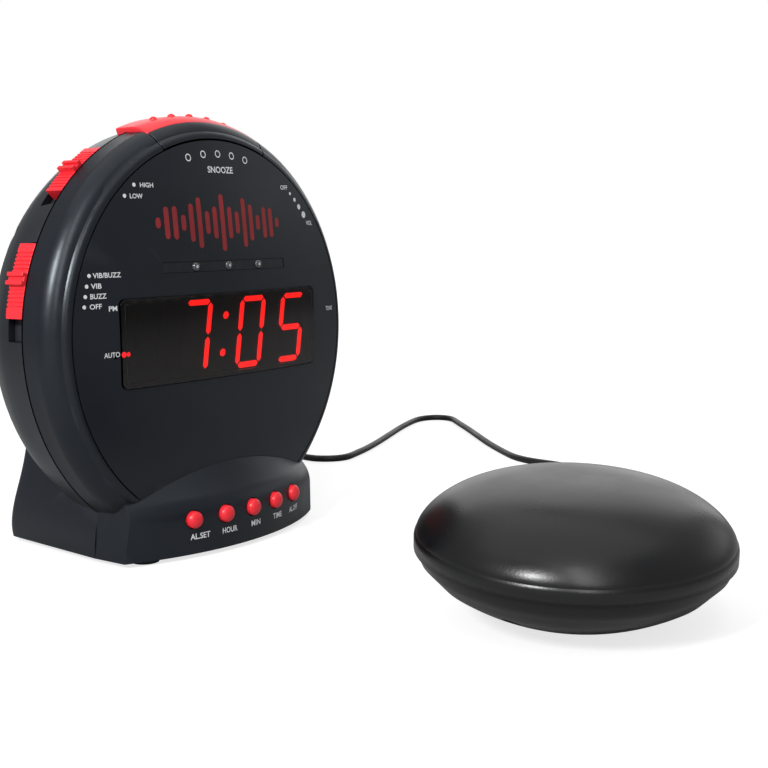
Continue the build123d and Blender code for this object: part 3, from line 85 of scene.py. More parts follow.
class LeadSizes(PropertyGroup):
    """Sizes of the lead between the clock and its shaker."""
    thickness: FloatProperty(name="Thickness", description="Diameter of the lead", unit="LENGTH",
                             min=0.001, max=0.006, default=0.003)
    length: FloatProperty(name="Length", description="Length of the lead from plug to shaker", unit="LENGTH",
                          min=0.5, max=3.0, default=1.70)


class StudioSetup(PropertyGroup):
    """The floor, the lamps and the camera."""
    lens: FloatProperty(name="Lens", description="Camera lens in millimetres", subtype="DISTANCE_CAMERA",
                        min=20, max=200, default=58.42)
    key: FloatProperty(name="Top lamp", description="Power of the big soft lamp above", subtype="POWER",
                       min=0, max=100, default=4.0)
    side: FloatProperty(name="Left lamps", description="Power of the soft lamps at the left", subtype="POWER",
                        min=0, max=100, default=3.0)
    back: FloatProperty(name="Back lamp", description="Power of the wide lamp behind the shaker", subtype="POWER",
                        min=0, max=100, default=6.0)
    sky: FloatProperty(name="Sky", description="Strength of the even light all round", min=0, max=2, default=0.29)


# Node groups that more than one finish uses, and the finishes made from them

charcoal_tint, grain_height = (0.84, 0.92, 1.0), 0.2 * mm


def socket(group, name, way, kind, value=None):
    """A named input or output of a node group."""
    made = group.interface.new_socket(name=name, in_out=way, socket_type=kind)
    if value is not None:
        made.default_value = value
    return made


def moulded_grain():
    """Fine spark-eroded grain with slow cloudy shading: gives a height, a shade and a roughness."""
    if "moulded grain" in bpy.data.node_groups:
        return bpy.data.node_groups["moulded grain"]
    group = bpy.data.node_groups.new("moulded grain", "ShaderNodeTree")
    socket(group, "Grain size", "INPUT", "NodeSocketFloat", 2600.0)
    socket(group, "Colour", "INPUT", "NodeSocketColor", (0.02, 0.02, 0.02, 1))
    socket(group, "Cloudiness", "INPUT", "NodeSocketFloat", 0.12)
    socket(group, "Roughness", "INPUT", "NodeSocketFloat", 0.4)
    socket(group, "Roughness change", "INPUT", "NodeSocketFloat", 0.08)
    socket(group, "Colour", "OUTPUT", "NodeSocketColor")
    socket(group, "Roughness", "OUTPUT", "NodeSocketFloat")
    socket(group, "Height", "OUTPUT", "NodeSocketFloat")
    n, l = group.nodes, group.links
    given, put = n.new("NodeGroupInput"), n.new("NodeGroupOutput")
    place = n.new("ShaderNodeTexCoord")
    fine, slow = n.new("ShaderNodeTexNoise"), n.new("ShaderNodeTexNoise")
    fine.inputs["Detail"].default_value = 2.0
    slow.inputs["Scale"].default_value = 45.0
    slow.inputs["Detail"].default_value = 5.0
    l.new(place.outputs["Object"], fine.inputs["Vector"])
    l.new(place.outputs["Object"], slow.inputs["Vector"])
    l.new(given.outputs["Grain size"], fine.inputs["Scale"])
    shade = n.new("ShaderNodeMapRange")
    shade.inputs["From Min"].default_value, shade.inputs["From Max"].default_value = 0.3, 0.7
    shade.inputs["To Min"].default_value = -1.0
    l.new(slow.outputs["Fac"], shade.inputs["Value"])
    tone = n.new("ShaderNodeMath"); tone.operation = "MULTIPLY_ADD"
    tone.inputs[2].default_value = 1.0
    l.new(shade.outputs["Result"], tone.inputs[0])
    l.new(given.outputs["Cloudiness"], tone.inputs[1])
    hue = n.new("ShaderNodeHueSaturation")
    l.new(given.outputs["Colour"], hue.inputs["Color"])
    l.new(tone.outputs["Value"], hue.inputs["Value"])
    l.new(hue.outputs["Color"], put.inputs["Colour"])
    rough = n.new("ShaderNodeMath"); rough.operation = "MULTIPLY_ADD"
    l.new(shade.outputs["Result"], rough.inputs[0])
    l.new(given.outputs["Roughness change"], rough.inputs[1])
    l.new(given.outputs["Roughness"], rough.inputs[2])
    l.new(rough.outputs["Value"], put.inputs["Roughness"])
    l.new(fine.outputs["Fac"], put.inputs["Height"])
    return group


def paler_edges():
    """Lightens the colour where the mesh's edges stand out, by their pointiness."""
    if "paler edges" in bpy.data.node_groups:
        return bpy.data.node_groups["paler edges"]
    group = bpy.data.node_groups.new("paler edges", "ShaderNodeTree")
    socket(group, "Colour", "INPUT", "NodeSocketColor", (0.02, 0.02, 0.02, 1))
    socket(group, "Paler edge", "INPUT", "NodeSocketColor", (0.1, 0.1, 0.1, 1))
    socket(group, "Amount", "INPUT", "NodeSocketFloat", 0.3)
    socket(group, "Colour", "OUTPUT", "NodeSocketColor")
    n, l = group.nodes, group.links
    given, put = n.new("NodeGroupInput"), n.new("NodeGroupOutput")
    form = n.new("ShaderNodeNewGeometry")
    edge = n.new("ShaderNodeMapRange")
    edge.inputs["From Min"].default_value, edge.inputs["From Max"].default_value = 0.53, 0.62
    l.new(form.outputs["Pointiness"], edge.inputs["Value"])
    share = n.new("ShaderNodeMath"); share.operation = "MULTIPLY"
    l.new(edge.outputs["Result"], share.inputs[0])
    l.new(given.outputs["Amount"], share.inputs[1])
    mix = n.new("ShaderNodeMix"); mix.data_type = "RGBA"
    l.new(share.outputs["Value"], mix.inputs[0])
    l.new(given.outputs["Colour"], mix.inputs[6])
    l.new(given.outputs["Paler edge"], mix.inputs[7])
    l.new(mix.outputs[2], put.inputs["Colour"])
    return group


def finish(name, colour, roughness, grain=2600.0, depth=0.12, cloud=0.12, change=0.06, metallic=0.0,
           coat=0.0, coat_roughness=0.1, edge_paling=0.25, specular=0.5, tint=(1.0, 1.0, 1.0)):
    """A moulded or machined finish: grain, cloudy shading, edges made paler and a gloss."""
    if name in bpy.data.materials:
        return bpy.data.materials[name]
    made = bpy.data.materials.new(name)
    made.use_nodes = True
    n, l = made.node_tree.nodes, made.node_tree.links
    shader = n["Principled BSDF"]
    grained, edge_mix = n.new("ShaderNodeGroup"), n.new("ShaderNodeGroup")
    grained.node_tree, edge_mix.node_tree = moulded_grain(), paler_edges()
    grained.inputs["Grain size"].default_value = grain
    grained.inputs["Colour"].default_value = (*colour, 1)
    grained.inputs["Cloudiness"].default_value = cloud
    grained.inputs["Roughness"].default_value = roughness
    grained.inputs["Roughness change"].default_value = change
    edge_mix.inputs["Paler edge"].default_value = (*[min(1, c * 2.2 + 0.02) for c in colour], 1)
    edge_mix.inputs["Amount"].default_value = edge_paling
    bump = n.new("ShaderNodeBump")
    bump.inputs["Strength"].default_value = depth
    bump.inputs["Distance"].default_value = grain_height
    l.new(grained.outputs["Colour"], edge_mix.inputs["Colour"])
    l.new(edge_mix.outputs["Colour"], shader.inputs["Base Color"])
    l.new(grained.outputs["Roughness"], shader.inputs["Roughness"])
    l.new(grained.outputs["Height"], bump.inputs["Height"])
    l.new(bump.outputs["Normal"], shader.inputs["Normal"])
    shader.inputs["Metallic"].default_value = metallic
    shader.inputs["Coat Weight"].default_value = coat
    shader.inputs["Coat Roughness"].default_value = coat_roughness
    shader.inputs["Specular IOR Level"].default_value = specular
    shader.inputs["Specular Tint"].default_value = (*tint, 1)
    return made


def glowing(name, colour, strength):
    """A lit display stroke: an even glow under a smooth film."""
    if name in bpy.data.materials:
        return bpy.data.materials[name]
    made = finish(name, colour, 0.35, depth=0.02, cloud=0.03, edge_paling=0.0)
    shader = made.node_tree.nodes["Principled BSDF"]
    shader.inputs["Emission Color"].default_value = (*colour, 1)
    shader.inputs["Emission Strength"].default_value = strength
    return made


def clear_plastic(name, colour, roughness=0.04):
    """Clear or smoked plastic with faint ripples."""
    if name in bpy.data.materials:
        return bpy.data.materials[name]
    made = finish(name, colour, roughness, grain=300.0, depth=0.02, cloud=0.0, change=0.01, edge_paling=0.0)
    shader = made.node_tree.nodes["Principled BSDF"]
    shader.inputs["Transmission Weight"].default_value = 1.0
    shader.inputs["IOR"].default_value = 1.49
    return made


def finishes():
    """Every finish by the record's slot name."""
    look = bpy.context.scene.clock_colours
    body, red = tuple(look.body), tuple(look.red)
    return {
        "charcoal_plastic": finish("Charcoal moulding", body, 0.34, grain=2400.0, depth=0.10, tint=charcoal_tint),
        "red_plastic": finish("Red moulding", red, 0.32, depth=0.05, cloud=0.06, edge_paling=0.15),
        "smoked_lens": clear_plastic("Smoked lens", (0.22, 0.17, 0.16)),
        "module_plastic": finish("Display housing", (0.006, 0.006, 0.007), 0.5),
        "lit_red": glowing("Lit strokes", tuple(look.glow), 6.0),
        "unlit_grey": finish("Unlit strokes", (0.012, 0.008, 0.008), 0.5),
        "dark_strip": finish("Lamp strip", (0.005, 0.006, 0.008), 0.26, depth=0.02, tint=charcoal_tint),
        "clear_lamp": finish("Clear lamp", (0.055, 0.058, 0.062), 0.05, depth=0.02, coat=1.0, coat_roughness=0.03),
        "red_lamp": glowing("Red lamp", (0.9, 0.012, 0.016), 0.6),
        "board_green": finish("Circuit board", (0.012, 0.09, 0.035), 0.3, coat=0.4),
        "seam_shadow": finish("Seam shadow", (0.0006, 0.0006, 0.0007), 0.9, depth=0.0, edge_paling=0.0, specular=0.0),
        # The slot floor is coloured several times lighter than the body moulding: painted light on a floor that lies
        # in shade deep in its slot
        "slot_floor": finish("Slot floor", (0.030, 0.034, 0.042), 0.5, edge_paling=0.0),
        "switch_black": finish("Switch black", (0.012, 0.012, 0.012), 0.45),
        "speaker_steel": finish("Painted steel", (0.03, 0.03, 0.033), 0.4, edge_paling=0.5),
        "cone_paper": finish("Paper cone", (0.015, 0.014, 0.013), 0.85, grain=900.0, depth=0.5),
        "magnet_ferrite": finish("Ferrite", (0.025, 0.025, 0.028), 0.6, depth=0.4),
        "battery_skin": finish("Battery jacket", (0.02, 0.02, 0.024), 0.25, metallic=0.3),
        "bright_steel": finish("Plated steel", (0.52, 0.52, 0.54), 0.28, metallic=1.0, cloud=0.05),
        "rubber_black": finish("Black rubber", (0.012, 0.012, 0.012), 0.7, depth=0.3),
        "shaker_plastic": finish("Shaker moulding", (0.0048, 0.0050, 0.0058), 0.31, grain=1500.0, depth=0.12),
        "motor_steel": finish("Motor can", (0.45, 0.46, 0.48), 0.3, metallic=1.0),
        "weight_brass": finish("Turned brass", (0.5, 0.34, 0.1), 0.3, metallic=1.0),
        "lead_pvc": finish("Lead jacket", (0.006, 0.006, 0.007), 0.42, grain=1400.0, depth=0.08),
        "bevel_brown": finish("Lens bevel", (0.028, 0.022, 0.018), 0.3, depth=0.02, edge_paling=0.0),
        # Pale spots laid on the clear lamps' noses: a painted highlight, a glint on each lamp
        "painted_lamp_glint": finish("Lamp chip", (0.62, 0.64, 0.64), 0.25, depth=0.02, edge_paling=0.0),
        "white_print": finish("White printing", tuple(look.print_white), 0.5, depth=0.04, cloud=0.05, edge_paling=0.0),
        "faded_print": finish("Faded red printing", tuple(look.faded), 0.55, depth=0.06, cloud=0.22, edge_paling=0.0),
    }


# Printing: words and marks drawn flat in millimetres, then laid on the face or on the hood

ink_lift = 0.04


def dome_depth(radius):
    """Depth of the domed face behind its groove: a ball's surface that stands dome_rise proud in the middle."""
    ball = (face_r ** 2 + dome_rise ** 2) / (2 * dome_rise)
    return ball - dome_rise - np.sqrt(ball ** 2 - radius ** 2)


def on_face(flat):
    """Flat x and z from the face's middle, laid on the dome and lifted off it by the ink's thickness."""
    x, z = flat[:, 0], flat[:, 1]
    return np.column_stack((x, face_y + dome_depth(np.hypot(x, z)) - ink_lift, axis_h + z)) * mm


def on_hood(flat):
    """Flat x and height, wrapped round the hood's upright cylinder so that x runs along its arc."""
    angle, radius = flat[:, 0] / hood_r, hood_r + ink_lift
    return np.column_stack((radius * np.sin(angle), face_y + hood_axis_y - radius * np.cos(angle), flat[:, 1])) * mm


def word(text, middle, width, height, bold=0.019):
    """Flat points and faces of a word that fills a box of this width and height round its middle."""
    letters = bpy.data.curves.new("letters", "FONT")
    letters.body, letters.offset, letters.resolution_u = text, bold, 3
    holder = bpy.data.objects.new("letters", letters)
    bpy.context.scene.collection.objects.link(holder)
    mesh = bpy.data.meshes.new_from_object(holder.evaluated_get(bpy.context.evaluated_depsgraph_get()))
    points = np.empty(3 * len(mesh.vertices))
    mesh.vertices.foreach_get("co", points)
    flat = points.reshape(-1, 3)[:, :2]
    faces = [tuple(face.vertices) for face in mesh.polygons]
    bpy.data.objects.remove(holder)
    bpy.data.meshes.remove(mesh)
    bpy.data.curves.remove(letters)
    low, high = flat.min(axis=0), flat.max(axis=0)
    return (flat - (low + high) / 2) / (high - low) * (width, height) + middle, faces


def spot(middle, radius, sides=28):
    """A flat round dot."""
    angle = np.arange(sides) * 2 * pi / sides
    return np.column_stack((np.cos(angle), np.sin(angle))) * radius + middle, [tuple(range(sides))]


def hoop(middle, radius, width, sides=32):
    """A flat ring, as wide as its stroke, between an outer and an inner circle."""
    angle = np.arange(sides) * 2 * pi / sides
    circle = np.column_stack((np.cos(angle), np.sin(angle)))
    after = (np.arange(sides) + 1) % sides
    faces = np.column_stack((np.arange(sides), after, after + sides, np.arange(sides) + sides))
    return np.vstack((circle * radius, circle * (radius - width))) + middle, faces.tolist()


def level_bar(middle, width, height, end_steps=6, side_steps=9):
    """An upright bar with round ends, in short steps so that it can follow a dome: each row is a pair of corners."""
    angle, straight = np.linspace(0, pi / 2, end_steps), max(height - width, 0) / 2
    half, rise = np.sin(angle) * width / 2, straight + np.cos(angle) * width / 2
    rise = np.concatenate((rise, np.linspace(straight, -straight, side_steps)[1:-1], -rise[::-1]))
    half = np.concatenate((half, np.full(side_steps - 2, width / 2), half[::-1]))
    half[[0, -1]] = width * 0.02
    corners = np.column_stack((np.concatenate((-half, half)), np.concatenate((rise, rise))))
    row, rows = np.arange(len(rise) - 1), len(rise)
    return corners + middle, np.column_stack((row, row + 1, row + 1 + rows, row + rows)).tolist()


def bar_height(step):
    """Heights that beat like a sound's level and fade out to both ends."""
    beat = quiet_share + (1 - quiet_share) * cos(step * bar_beat) ** 2
    return bar_h * beat * (1 - (step / bar_fade_steps) ** 2)


def gathered(drawings):
    """Several flat drawings joined into one set of points and faces."""
    faces, start = [], 0
    for flat, own in drawings:
        faces += [tuple(start + corner for corner in face) for face in own]
        start += len(flat)
    return np.vstack([flat for flat, own in drawings]), faces


def printed(name, drawings, laid, slot_name):
    """Drawings in one ink, laid on the body by the given function, facing forwards."""
    flat, faces = gathered(drawings)
    piece = surface(name, laid(flat), faces, finishes()[slot_name], smooth=False)
    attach(piece, "case")
    return piece


snooze_marks = ((-14.0, 58.4), (-7.0, 59.7), (0.0, 60.1), (6.8, 59.7), (13.5, 58.5))
dimmer_marks = (((-38.0, 49.1), "HIGH", 2.3, 5.3), ((-42.1, 45.6), "LOW", 2.0, 5.0))
mode_marks = (((-57.7, 21.4), "VIB/BUZZ", 1.3, 10.2), ((-58.8, 18.2), "VIB", 1.5, 3.8),
              ((-59.5, 15.1), "BUZZ", 1.7, 5.8), ((-60.1, 12.0), "OFF", 1.9, 4.3))
volume_marks = (((37.4, 47.5), 0.58), ((39.9, 45.3), 0.74), ((42.2, 42.8), 0.98), ((44.8, 40.0), 1.22))
face_words = (("SNOOZE", (0.4, 54.8), 12.2, 2.2), ("OFF", (34.0, 49.6), 4.3, 1.6), ("VOL", (48.0, 37.0), 4.0, 1.6),
              ("TONE", (58.6, 5.0), 4.6, 1.6), ("PM", (-49.9, 11.1), 3.1, 1.6), ("AUTO", (-51.0, -3.2), 5.8, 1.6))
hood_words = (("AL.SET", -23.1, 7.6), ("HOUR", -11.0, 6.4), ("MIN", 1.3, 4.6), ("TIME", 13.9, 5.6),
              ("AL.OFF", 25.9, 7.0))
hood_word_height = 7.5
hoop_r, hoop_w = 1.25, 0.36
bar_middle, bar_rise, bar_pitch, bar_w, bar_h, bars_each_side = -1.2, 37.2, 3.6, 2.1, 19.0, 8
quiet_share, bar_beat, bar_fade_steps = 0.34, 0.95, 11


class CLOCK_OT_printing(Operator):
    """Print the words, dots, rings and sound level bars on the face and the words under the buttons"""
    bl_idname = "clock.printing"
    bl_label = "Printing"

    def execute(self, context):
        marks = [hoop(place, hoop_r, hoop_w) for place in snooze_marks]
        marks += [spot(place, radius) for place, radius in volume_marks]
        for rows, radius, height in ((dimmer_marks, 0.64, 1.5), (mode_marks, 0.62, 1.6)):
            for (x, z), text, gap, width in rows:
                marks += [spot((x, z), radius), word(text, (x + gap + width / 2, z), width, height)]
        marks += [word(text, middle, width, height) for text, middle, width, height in face_words]
        printed("face_printing", marks, on_face, "white_print")
        bars = [level_bar((bar_pitch * step + bar_middle, bar_rise), bar_w, bar_height(step))
                for step in range(-bars_each_side, bars_each_side + 1)]
        printed("level_bars", bars, on_face, "faded_print")
        labels = [word(text, (x, hood_word_height), width, 2.0) for text, x, width in hood_words]
        printed("button_words", labels, on_hood, "white_print")
        return {"FINISHED"}


# Display: strokes drawn flat in millimetres behind the lens

display_y, display_drop = 57.7, -0.35
digit_middles = (-35.7, -14.15, 12.75, 34.3)
digit_half_w, digit_half_h, digit_lean = 5.55, 11.4, 0.17
stroke_w, stroke_space, stroke_t = 2.0, 0.45, 0.15
colon_x, colon_rise, colon_r = -0.6, 6.3, 1.25
lit_strokes = ((), (0, 1, 2), (0, 1, 2, 3, 4, 5), (0, 2, 3, 5, 6))
lens_proud, lamp_proud = 0.52, 0.72
# Two red dots: the auto lamp, and the same lamp seen a second time in the lens's side wall, which is a painted
# reflection
auto_lamp_dot_and_painted_reflection = (((-47.0, -3.4), 0.9), ((-45.3, -3.4), 0.7))
# Places and size of the pale spots that paint a glint on each clear lamp
lamp_glint_places, lamp_glint_r = ((-15.45, 22.95), (-0.15, 22.95), (15.15, 22.95)), 0.52
lens_half_w, lens_half_h, lens_corner, bevel_in, bevel_w = 47.1, 13.65, 1.9, 1.1, 0.22


def on_display(flat):
    """Flat x and rise, leaned over as the digits are: each point moves right by its rise times the lean."""
    x, rise = flat[:, 0] + flat[:, 1] * digit_lean, flat[:, 1]
    return np.column_stack((x, np.full(len(flat), display_y), axis_h + display_drop + rise)) * mm


def stroke(middle, half_length, upright):
    """A bar with a point at each end: six corners, turned on end where the stroke is upright."""
    half = stroke_w / 2
    shape = np.array(((-half_length, 0), (half - half_length, -half), (half_length - half, -half),
                      (half_length, 0), (half_length - half, half), (half - half_length, half)))
    if upright:
        shape = shape[::-1, ::-1]
    return shape + middle, [tuple(range(6))]


def digit(x):
    """The seven strokes round a digit's middle: top, right pair, bottom, left pair and cross stroke."""
    across, down = digit_half_w - stroke_space, digit_half_h / 2 - stroke_space
    w, h = digit_half_w, digit_half_h
    return (stroke((x, h), across, False), stroke((x + w, h / 2), down, True), stroke((x + w, -h / 2), down, True),
            stroke((x, -h), across, False), stroke((x - w, -h / 2), down, True), stroke((x - w, h / 2), down, True),
            stroke((x, 0), across, False))


def on_lens(flat):
    """Flat x and z from the face's middle, laid on the front of the lens, which stands proud of the dome."""
    return on_face(flat) - (0, lens_proud * mm, 0)


def on_lamp_nose(flat):
    """Flat x and z laid just before the noses of the clear lamps."""
    return on_face(flat) - (0, lamp_proud * mm, 0)


def frame_line(half_w, half_h, corner, inset, width, corner_steps=8):
    """A thin line drawn inside a rounded rectangle: two loops of corner arcs joined by quads."""
    angle = np.linspace(0, pi / 2, corner_steps)
    loops = []
    for drawn_in in (inset, inset + width):
        bend = max(corner - drawn_in, 0.3)
        loops.append(np.vstack([np.column_stack((
            side_x * (half_w - drawn_in - bend) + bend * np.cos(angle + turn),
            side_z * (half_h - drawn_in - bend) + bend * np.sin(angle + turn)))
            for side_x, side_z, turn in ((1, 1, 0), (-1, 1, pi / 2), (-1, -1, pi), (1, -1, 3 * pi / 2))]))
    count = 4 * corner_steps
    after = (np.arange(count) + 1) % count
    faces = np.column_stack((np.arange(count), after, after + count, np.arange(count) + count))
    return np.vstack(loops) + (0, display_drop), faces.tolist()


class CLOCK_OT_display(Operator):
    """Draw the lit time, the dark strokes beside it, the red lamp with a painted reflection of it, painted glints on
    the lamps and the line in the lens
    """
    bl_idname = "clock.display"
    bl_label = "Display"

    def execute(self, context):
        digits = [digit(x) for x in digit_middles]
        lit = [digits[place][number] for place, numbers in enumerate(lit_strokes) for number in numbers]
        dark = [drawing for place, drawings in enumerate(digits) for number, drawing in enumerate(drawings)
                if number not in lit_strokes[place]]
        lit += [spot((colon_x, colon_rise * side), colon_r) for side in (-1, 1)]
        for name, drawings, node in (("shown_time", lit, "lit_digits"), ("dark_strokes", dark, "unlit_digits")):
            slot_name = {"lit_digits": "lit_red", "unlit_digits": "unlit_grey"}[node]
            piece = printed(name, drawings, on_display, slot_name)
            thickened(piece, stroke_t)
            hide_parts(node)
        # The lit auto lamp and its painted reflection beside it, both glowing
        glow = printed("auto_lamp_and_painted_reflection", [spot(place, radius) for place, radius in auto_lamp_dot_and_painted_reflection], on_lens, "red_lamp")
        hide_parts("alarm_lamp")
        # Painted glints: one pale spot on the nose of each clear lamp
        printed("painted_lamp_glints", [spot(place, lamp_glint_r) for place in lamp_glint_places], on_lamp_nose, "painted_lamp_glint")
        printed("lens_bevel_line", [frame_line(lens_half_w, lens_half_h, lens_corner, bevel_in, bevel_w)], on_lens,
                "bevel_brown")
        return {"FINISHED"}


# Trim: the shaker's dome, the sliders' slot floors, the buttons' crowns and the seam of the case

dome_bend, dome_fall, dome_wall = 2.9, 0.66, 2.0
skirt_corners = ((43.55, 23.3), (skirt_r, 22.6), (skirt_r, puck_seam_h))
button_row_h, button_r, button_side_h, button_crown_h = 13.2, 2.85, 0.6, 1.9
button_places = (("alarm_set", -25.0), ("hour", -12.5), ("minute", 0.0), ("time", 12.5), ("alarm_off", 25.0))
slot_floor_r, slot_floor_from_y, slot_floor_to_y, slot_floor_t = 67.35, 14.9, 22.8, 0.5
slot_floors = (("mode_apron", "mode", 172.9, 179.0), ("dimmer_apron", "dimmer", 138.4, 140.4))
seam_lift, seam_half_w = 0.05, 0.25
seam_arcs = (("seam_right", -53.0, 68.4), ("seam_left", 111.6, 233.0))


def in_puck(points):
    """The puck's own frame, x towards its lead, leaned up about its low side and set on the table."""
    lean, heading = radians(puck_lean), radians(90.0 - puck_heading)
    along = np.array((cos(lean) * cos(heading), cos(lean) * sin(heading), sin(lean)))
    up = np.array((-sin(lean) * cos(heading), -sin(lean) * sin(heading), cos(lean)))
    return (np.array(puck_origin) + points[:, :1] * along + points[:, 1:2] * np.cross(up, along)
            + points[:, 2:] * up) * mm


def revolved(profile, sides):
    """A profile of radius and height carried once round the upright axis, with a point where it starts at nought."""
    angle = np.arange(sides) * 2 * pi / sides
    radius, height = profile[1:, 0, None], profile[1:, 1, None]
    rings = np.stack((radius * np.cos(angle), radius * np.sin(angle), height + 0 * angle), axis=-1).reshape(-1, 3)
    crown = [(len(rings), column, (column + 1) % sides) for column in range(sides)]
    quads = grid_faces(len(profile) - 1, sides, closed=True)[:, ::-1]
    return np.vstack((rings, (0, 0, profile[0, 1]))), [tuple(q) for q in quads.tolist()] + crown


def thickened(piece, amount):
    """Gives a sheet a thickness in millimetres."""
    thicken = piece.modifiers.new("thickness", "SOLIDIFY")
    thicken.thickness, thicken.offset = amount * mm, -1


def rim_strip(from_deg, to_deg, edges, steps):
    """Two arcs round the rim joined by a row of quads; each edge is a radius and a depth behind the groove."""
    angle = np.radians(np.linspace(from_deg, to_deg, steps))
    points = np.vstack([np.column_stack((radius * np.cos(angle), np.full(steps, face_y + depth),
                                         axis_h + radius * np.sin(angle))) for radius, depth in edges]) * mm
    return points, grid_faces(2, steps)


def shaker_dome(material):
    """The shaker's upper half: h = edge + (top - edge) * (1 - share ** bend) ** fall, down to its skirt."""
    share = np.sin(np.linspace(0, pi / 2, 72))
    rise = (puck_top_h - puck_edge_h) * (1 - share ** dome_bend) ** dome_fall
    dome = np.column_stack((puck_r * share, puck_edge_h + rise))
    points, faces = revolved(np.vstack((dome, skirt_corners)), 160)
    piece = surface("shaker_dome", in_puck(points), faces, material)
    piece.data.set_sharp_from_angle(angle=radians(30))
    thickened(piece, dome_wall)
    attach(piece, "case")
    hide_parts("shaker_top")


def slot_floor(name, body, from_deg, to_deg, material):
    """The floor of a slider's slot beside the slider, which it moves with."""
    edges = ((slot_floor_r, slot_floor_from_y), (slot_floor_r, slot_floor_to_y))
    piece = surface(name, *rim_strip(from_deg, to_deg, edges, 12), material)
    thickened(piece, slot_floor_t)
    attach(piece, body)


def button_crown(body, x, material):
    """A button's round front: a quarter oval turned about the button's axis, which points out of the hood."""
    turn, rise = asin(x / hood_r), np.linspace(pi / 2, 0, 12)
    profile = np.column_stack((button_r * np.cos(rise), hood_r + button_side_h + button_crown_h * np.sin(rise)))
    profile[:, 0] += np.where(profile[:, 0] > 1, 0.01, 0)
    points, faces = revolved(profile, 48)
    axes = np.array(((cos(turn), sin(turn), 0), (0, 0, 1), (sin(turn), -cos(turn), 0)))
    piece = surface(f"{body}_dome", (points @ axes + (0, face_y + hood_axis_y, button_row_h)) * mm, faces, material)
    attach(piece, body)


class CLOCK_OT_trim(Operator):
    """Shape the shaker's dome, the slots' floors, the buttons' crowns and the dark seam round the case"""
    bl_idname = "clock.trim"
    bl_label = "Dome and trim"

    def execute(self, context):
        made = finishes()
        shaker_dome(made["shaker_plastic"])
        for name, body, from_deg, to_deg in slot_floors:
            slot_floor(name, body, from_deg, to_deg, made["slot_floor"])
        for body, x in button_places:
            button_crown(body, x, made["red_plastic"])
        line_r = drum_r + seam_lift
        for name, from_deg, to_deg in seam_arcs:
            edges = ((line_r, seam_y - seam_half_w), (line_r, seam_y + seam_half_w))
            piece = surface(name, *rim_strip(from_deg, to_deg, edges, 180), made["seam_shadow"])
            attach(piece, "case")
        return {"FINISHED"}


# The lead's route in millimetres, the same points as in the part's source
lead_height = 1.5
plug_end = (24.0, 146.94, 31.0)
tail_corners = ((24.0, 158.0, 31.0), (27.5, 170.0, 24.0), (35.0, 180.0, 16.4), (38.2, 188.0, 13.08))
table_corners = ((81.8, 187.5), (84.0, 176.5), (93.0, 167.0), (106.0, 161.0), (119.0, 156.5), (130.0, 148.0),
                 (133.4, 137.0), (130.6, 126.9), (134.0, 118.9), (141.6, 114.6), (152.5, 117.4), (165.0, 120.6),
                 (180.3, 125.8), (201.3, 133.7), (224.5, 142.7), (245.4, 149.6), (258.6, 152.2), (267.4, 147.0),
                 (267.8, 137.2), (257.4, 127.0), (242.1, 111.1), (226.4, 95.6), (211.6, 81.1), (199.9, 68.7),
                 (190.2, 57.7), (182.6, 48.4), (178.2, 38.0), (177.0, 25.0), (174.0, 12.0), (163.0, 0.0),
                 (146.0, -7.0), (124.0, -9.0), (100.0, -7.0), (80.0, -9.0))
rise_corners = ((64.0, -13.0, 7.0), (50.0, -20.0, 18.5), (36.8, -31.6, 26.0))
coil_middle, coil_out, coil_pitch, coil_layers, coil_half_turns = (60.0, 195.5), 21.82, 3.86, 4, 4
coil_points = 6


def coil_route():
    """The coil's turns: half circles between crossings of its middle line, which go in and out layer by layer."""
    crossings = [coil_out - turn * coil_pitch / 2 for turn in range(coil_half_turns + 1)]
    steps = []
    for layer in range(coil_layers):
        height = lead_height + (coil_layers - 1 - layer) * coil_pitch
        steps += [(distance, height) for distance in (crossings if layer % 2 == 0 else crossings[::-1])]
    angles = np.radians((np.arange(coil_points) + 0.5) * 180 / coil_points)
    points, side = [], -1
    for (near, height), (far, next_height) in zip(steps, steps[1:]):
        start = np.array((coil_middle[0] + side * near, coil_middle[1], height))
        end = np.array((coil_middle[0] - side * far, coil_middle[1], next_height))
        reach = np.linalg.norm(end - start) / 2
        along, ahead = (end - start) / (2 * reach), np.array((0.0, -side, 0.0))
        spread = reach / cos(pi / 2 / coil_points)
        points += [(start + end) / 2 - along * spread * cos(a) + ahead * spread * sin(a) for a in angles]
        side = -side
    return points


def boot_tip():
    """The end of the shaker's boot, where the lead comes out of it."""
    return in_puck(np.array([(skirt_r + boot_l, 0, puck_seam_h)]))[0] / mm


class CLOCK_OT_lead(Operator):
    """Lay the lead from its plug through the coil and over the table to the shaker"""
    bl_idname = "clock.lead"
    bl_label = "Lead"

    def execute(self, context):
        sizes = context.scene.lead_sizes
        route = [plug_end, *tail_corners, *coil_route(), *[(x, y, lead_height) for x, y in table_corners],
                 *rise_corners, boot_tip()]
        points = np.array([tuple(p) for p in route]) * mm
        shape = bpy.data.curves.new("lead", "CURVE")
        shape.dimensions = "3D"
        line = shape.splines.new("NURBS")
        line.points.add(len(points) - 1)
        line.points.foreach_set("co", np.column_stack((points, np.ones(len(points)))).ravel())
        line.order_u = 3
        line.use_endpoint_u = True
        shape.resolution_u = 6
        shape.bevel_depth = sizes.thickness / 2
        shape.bevel_resolution = 4
        shape.use_fill_caps = True
        shape.materials.append(finishes()["lead_pvc"])
        lead = bpy.data.objects.new("lead", shape)
        context.scene.collection.objects.link(lead)
        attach(lead, "case")
        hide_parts("lead_to_coil", "lead_coil", "lead_to_shaker")
        return {"FINISHED"}


# Finishes: the carried-over pieces, some with rounded edges

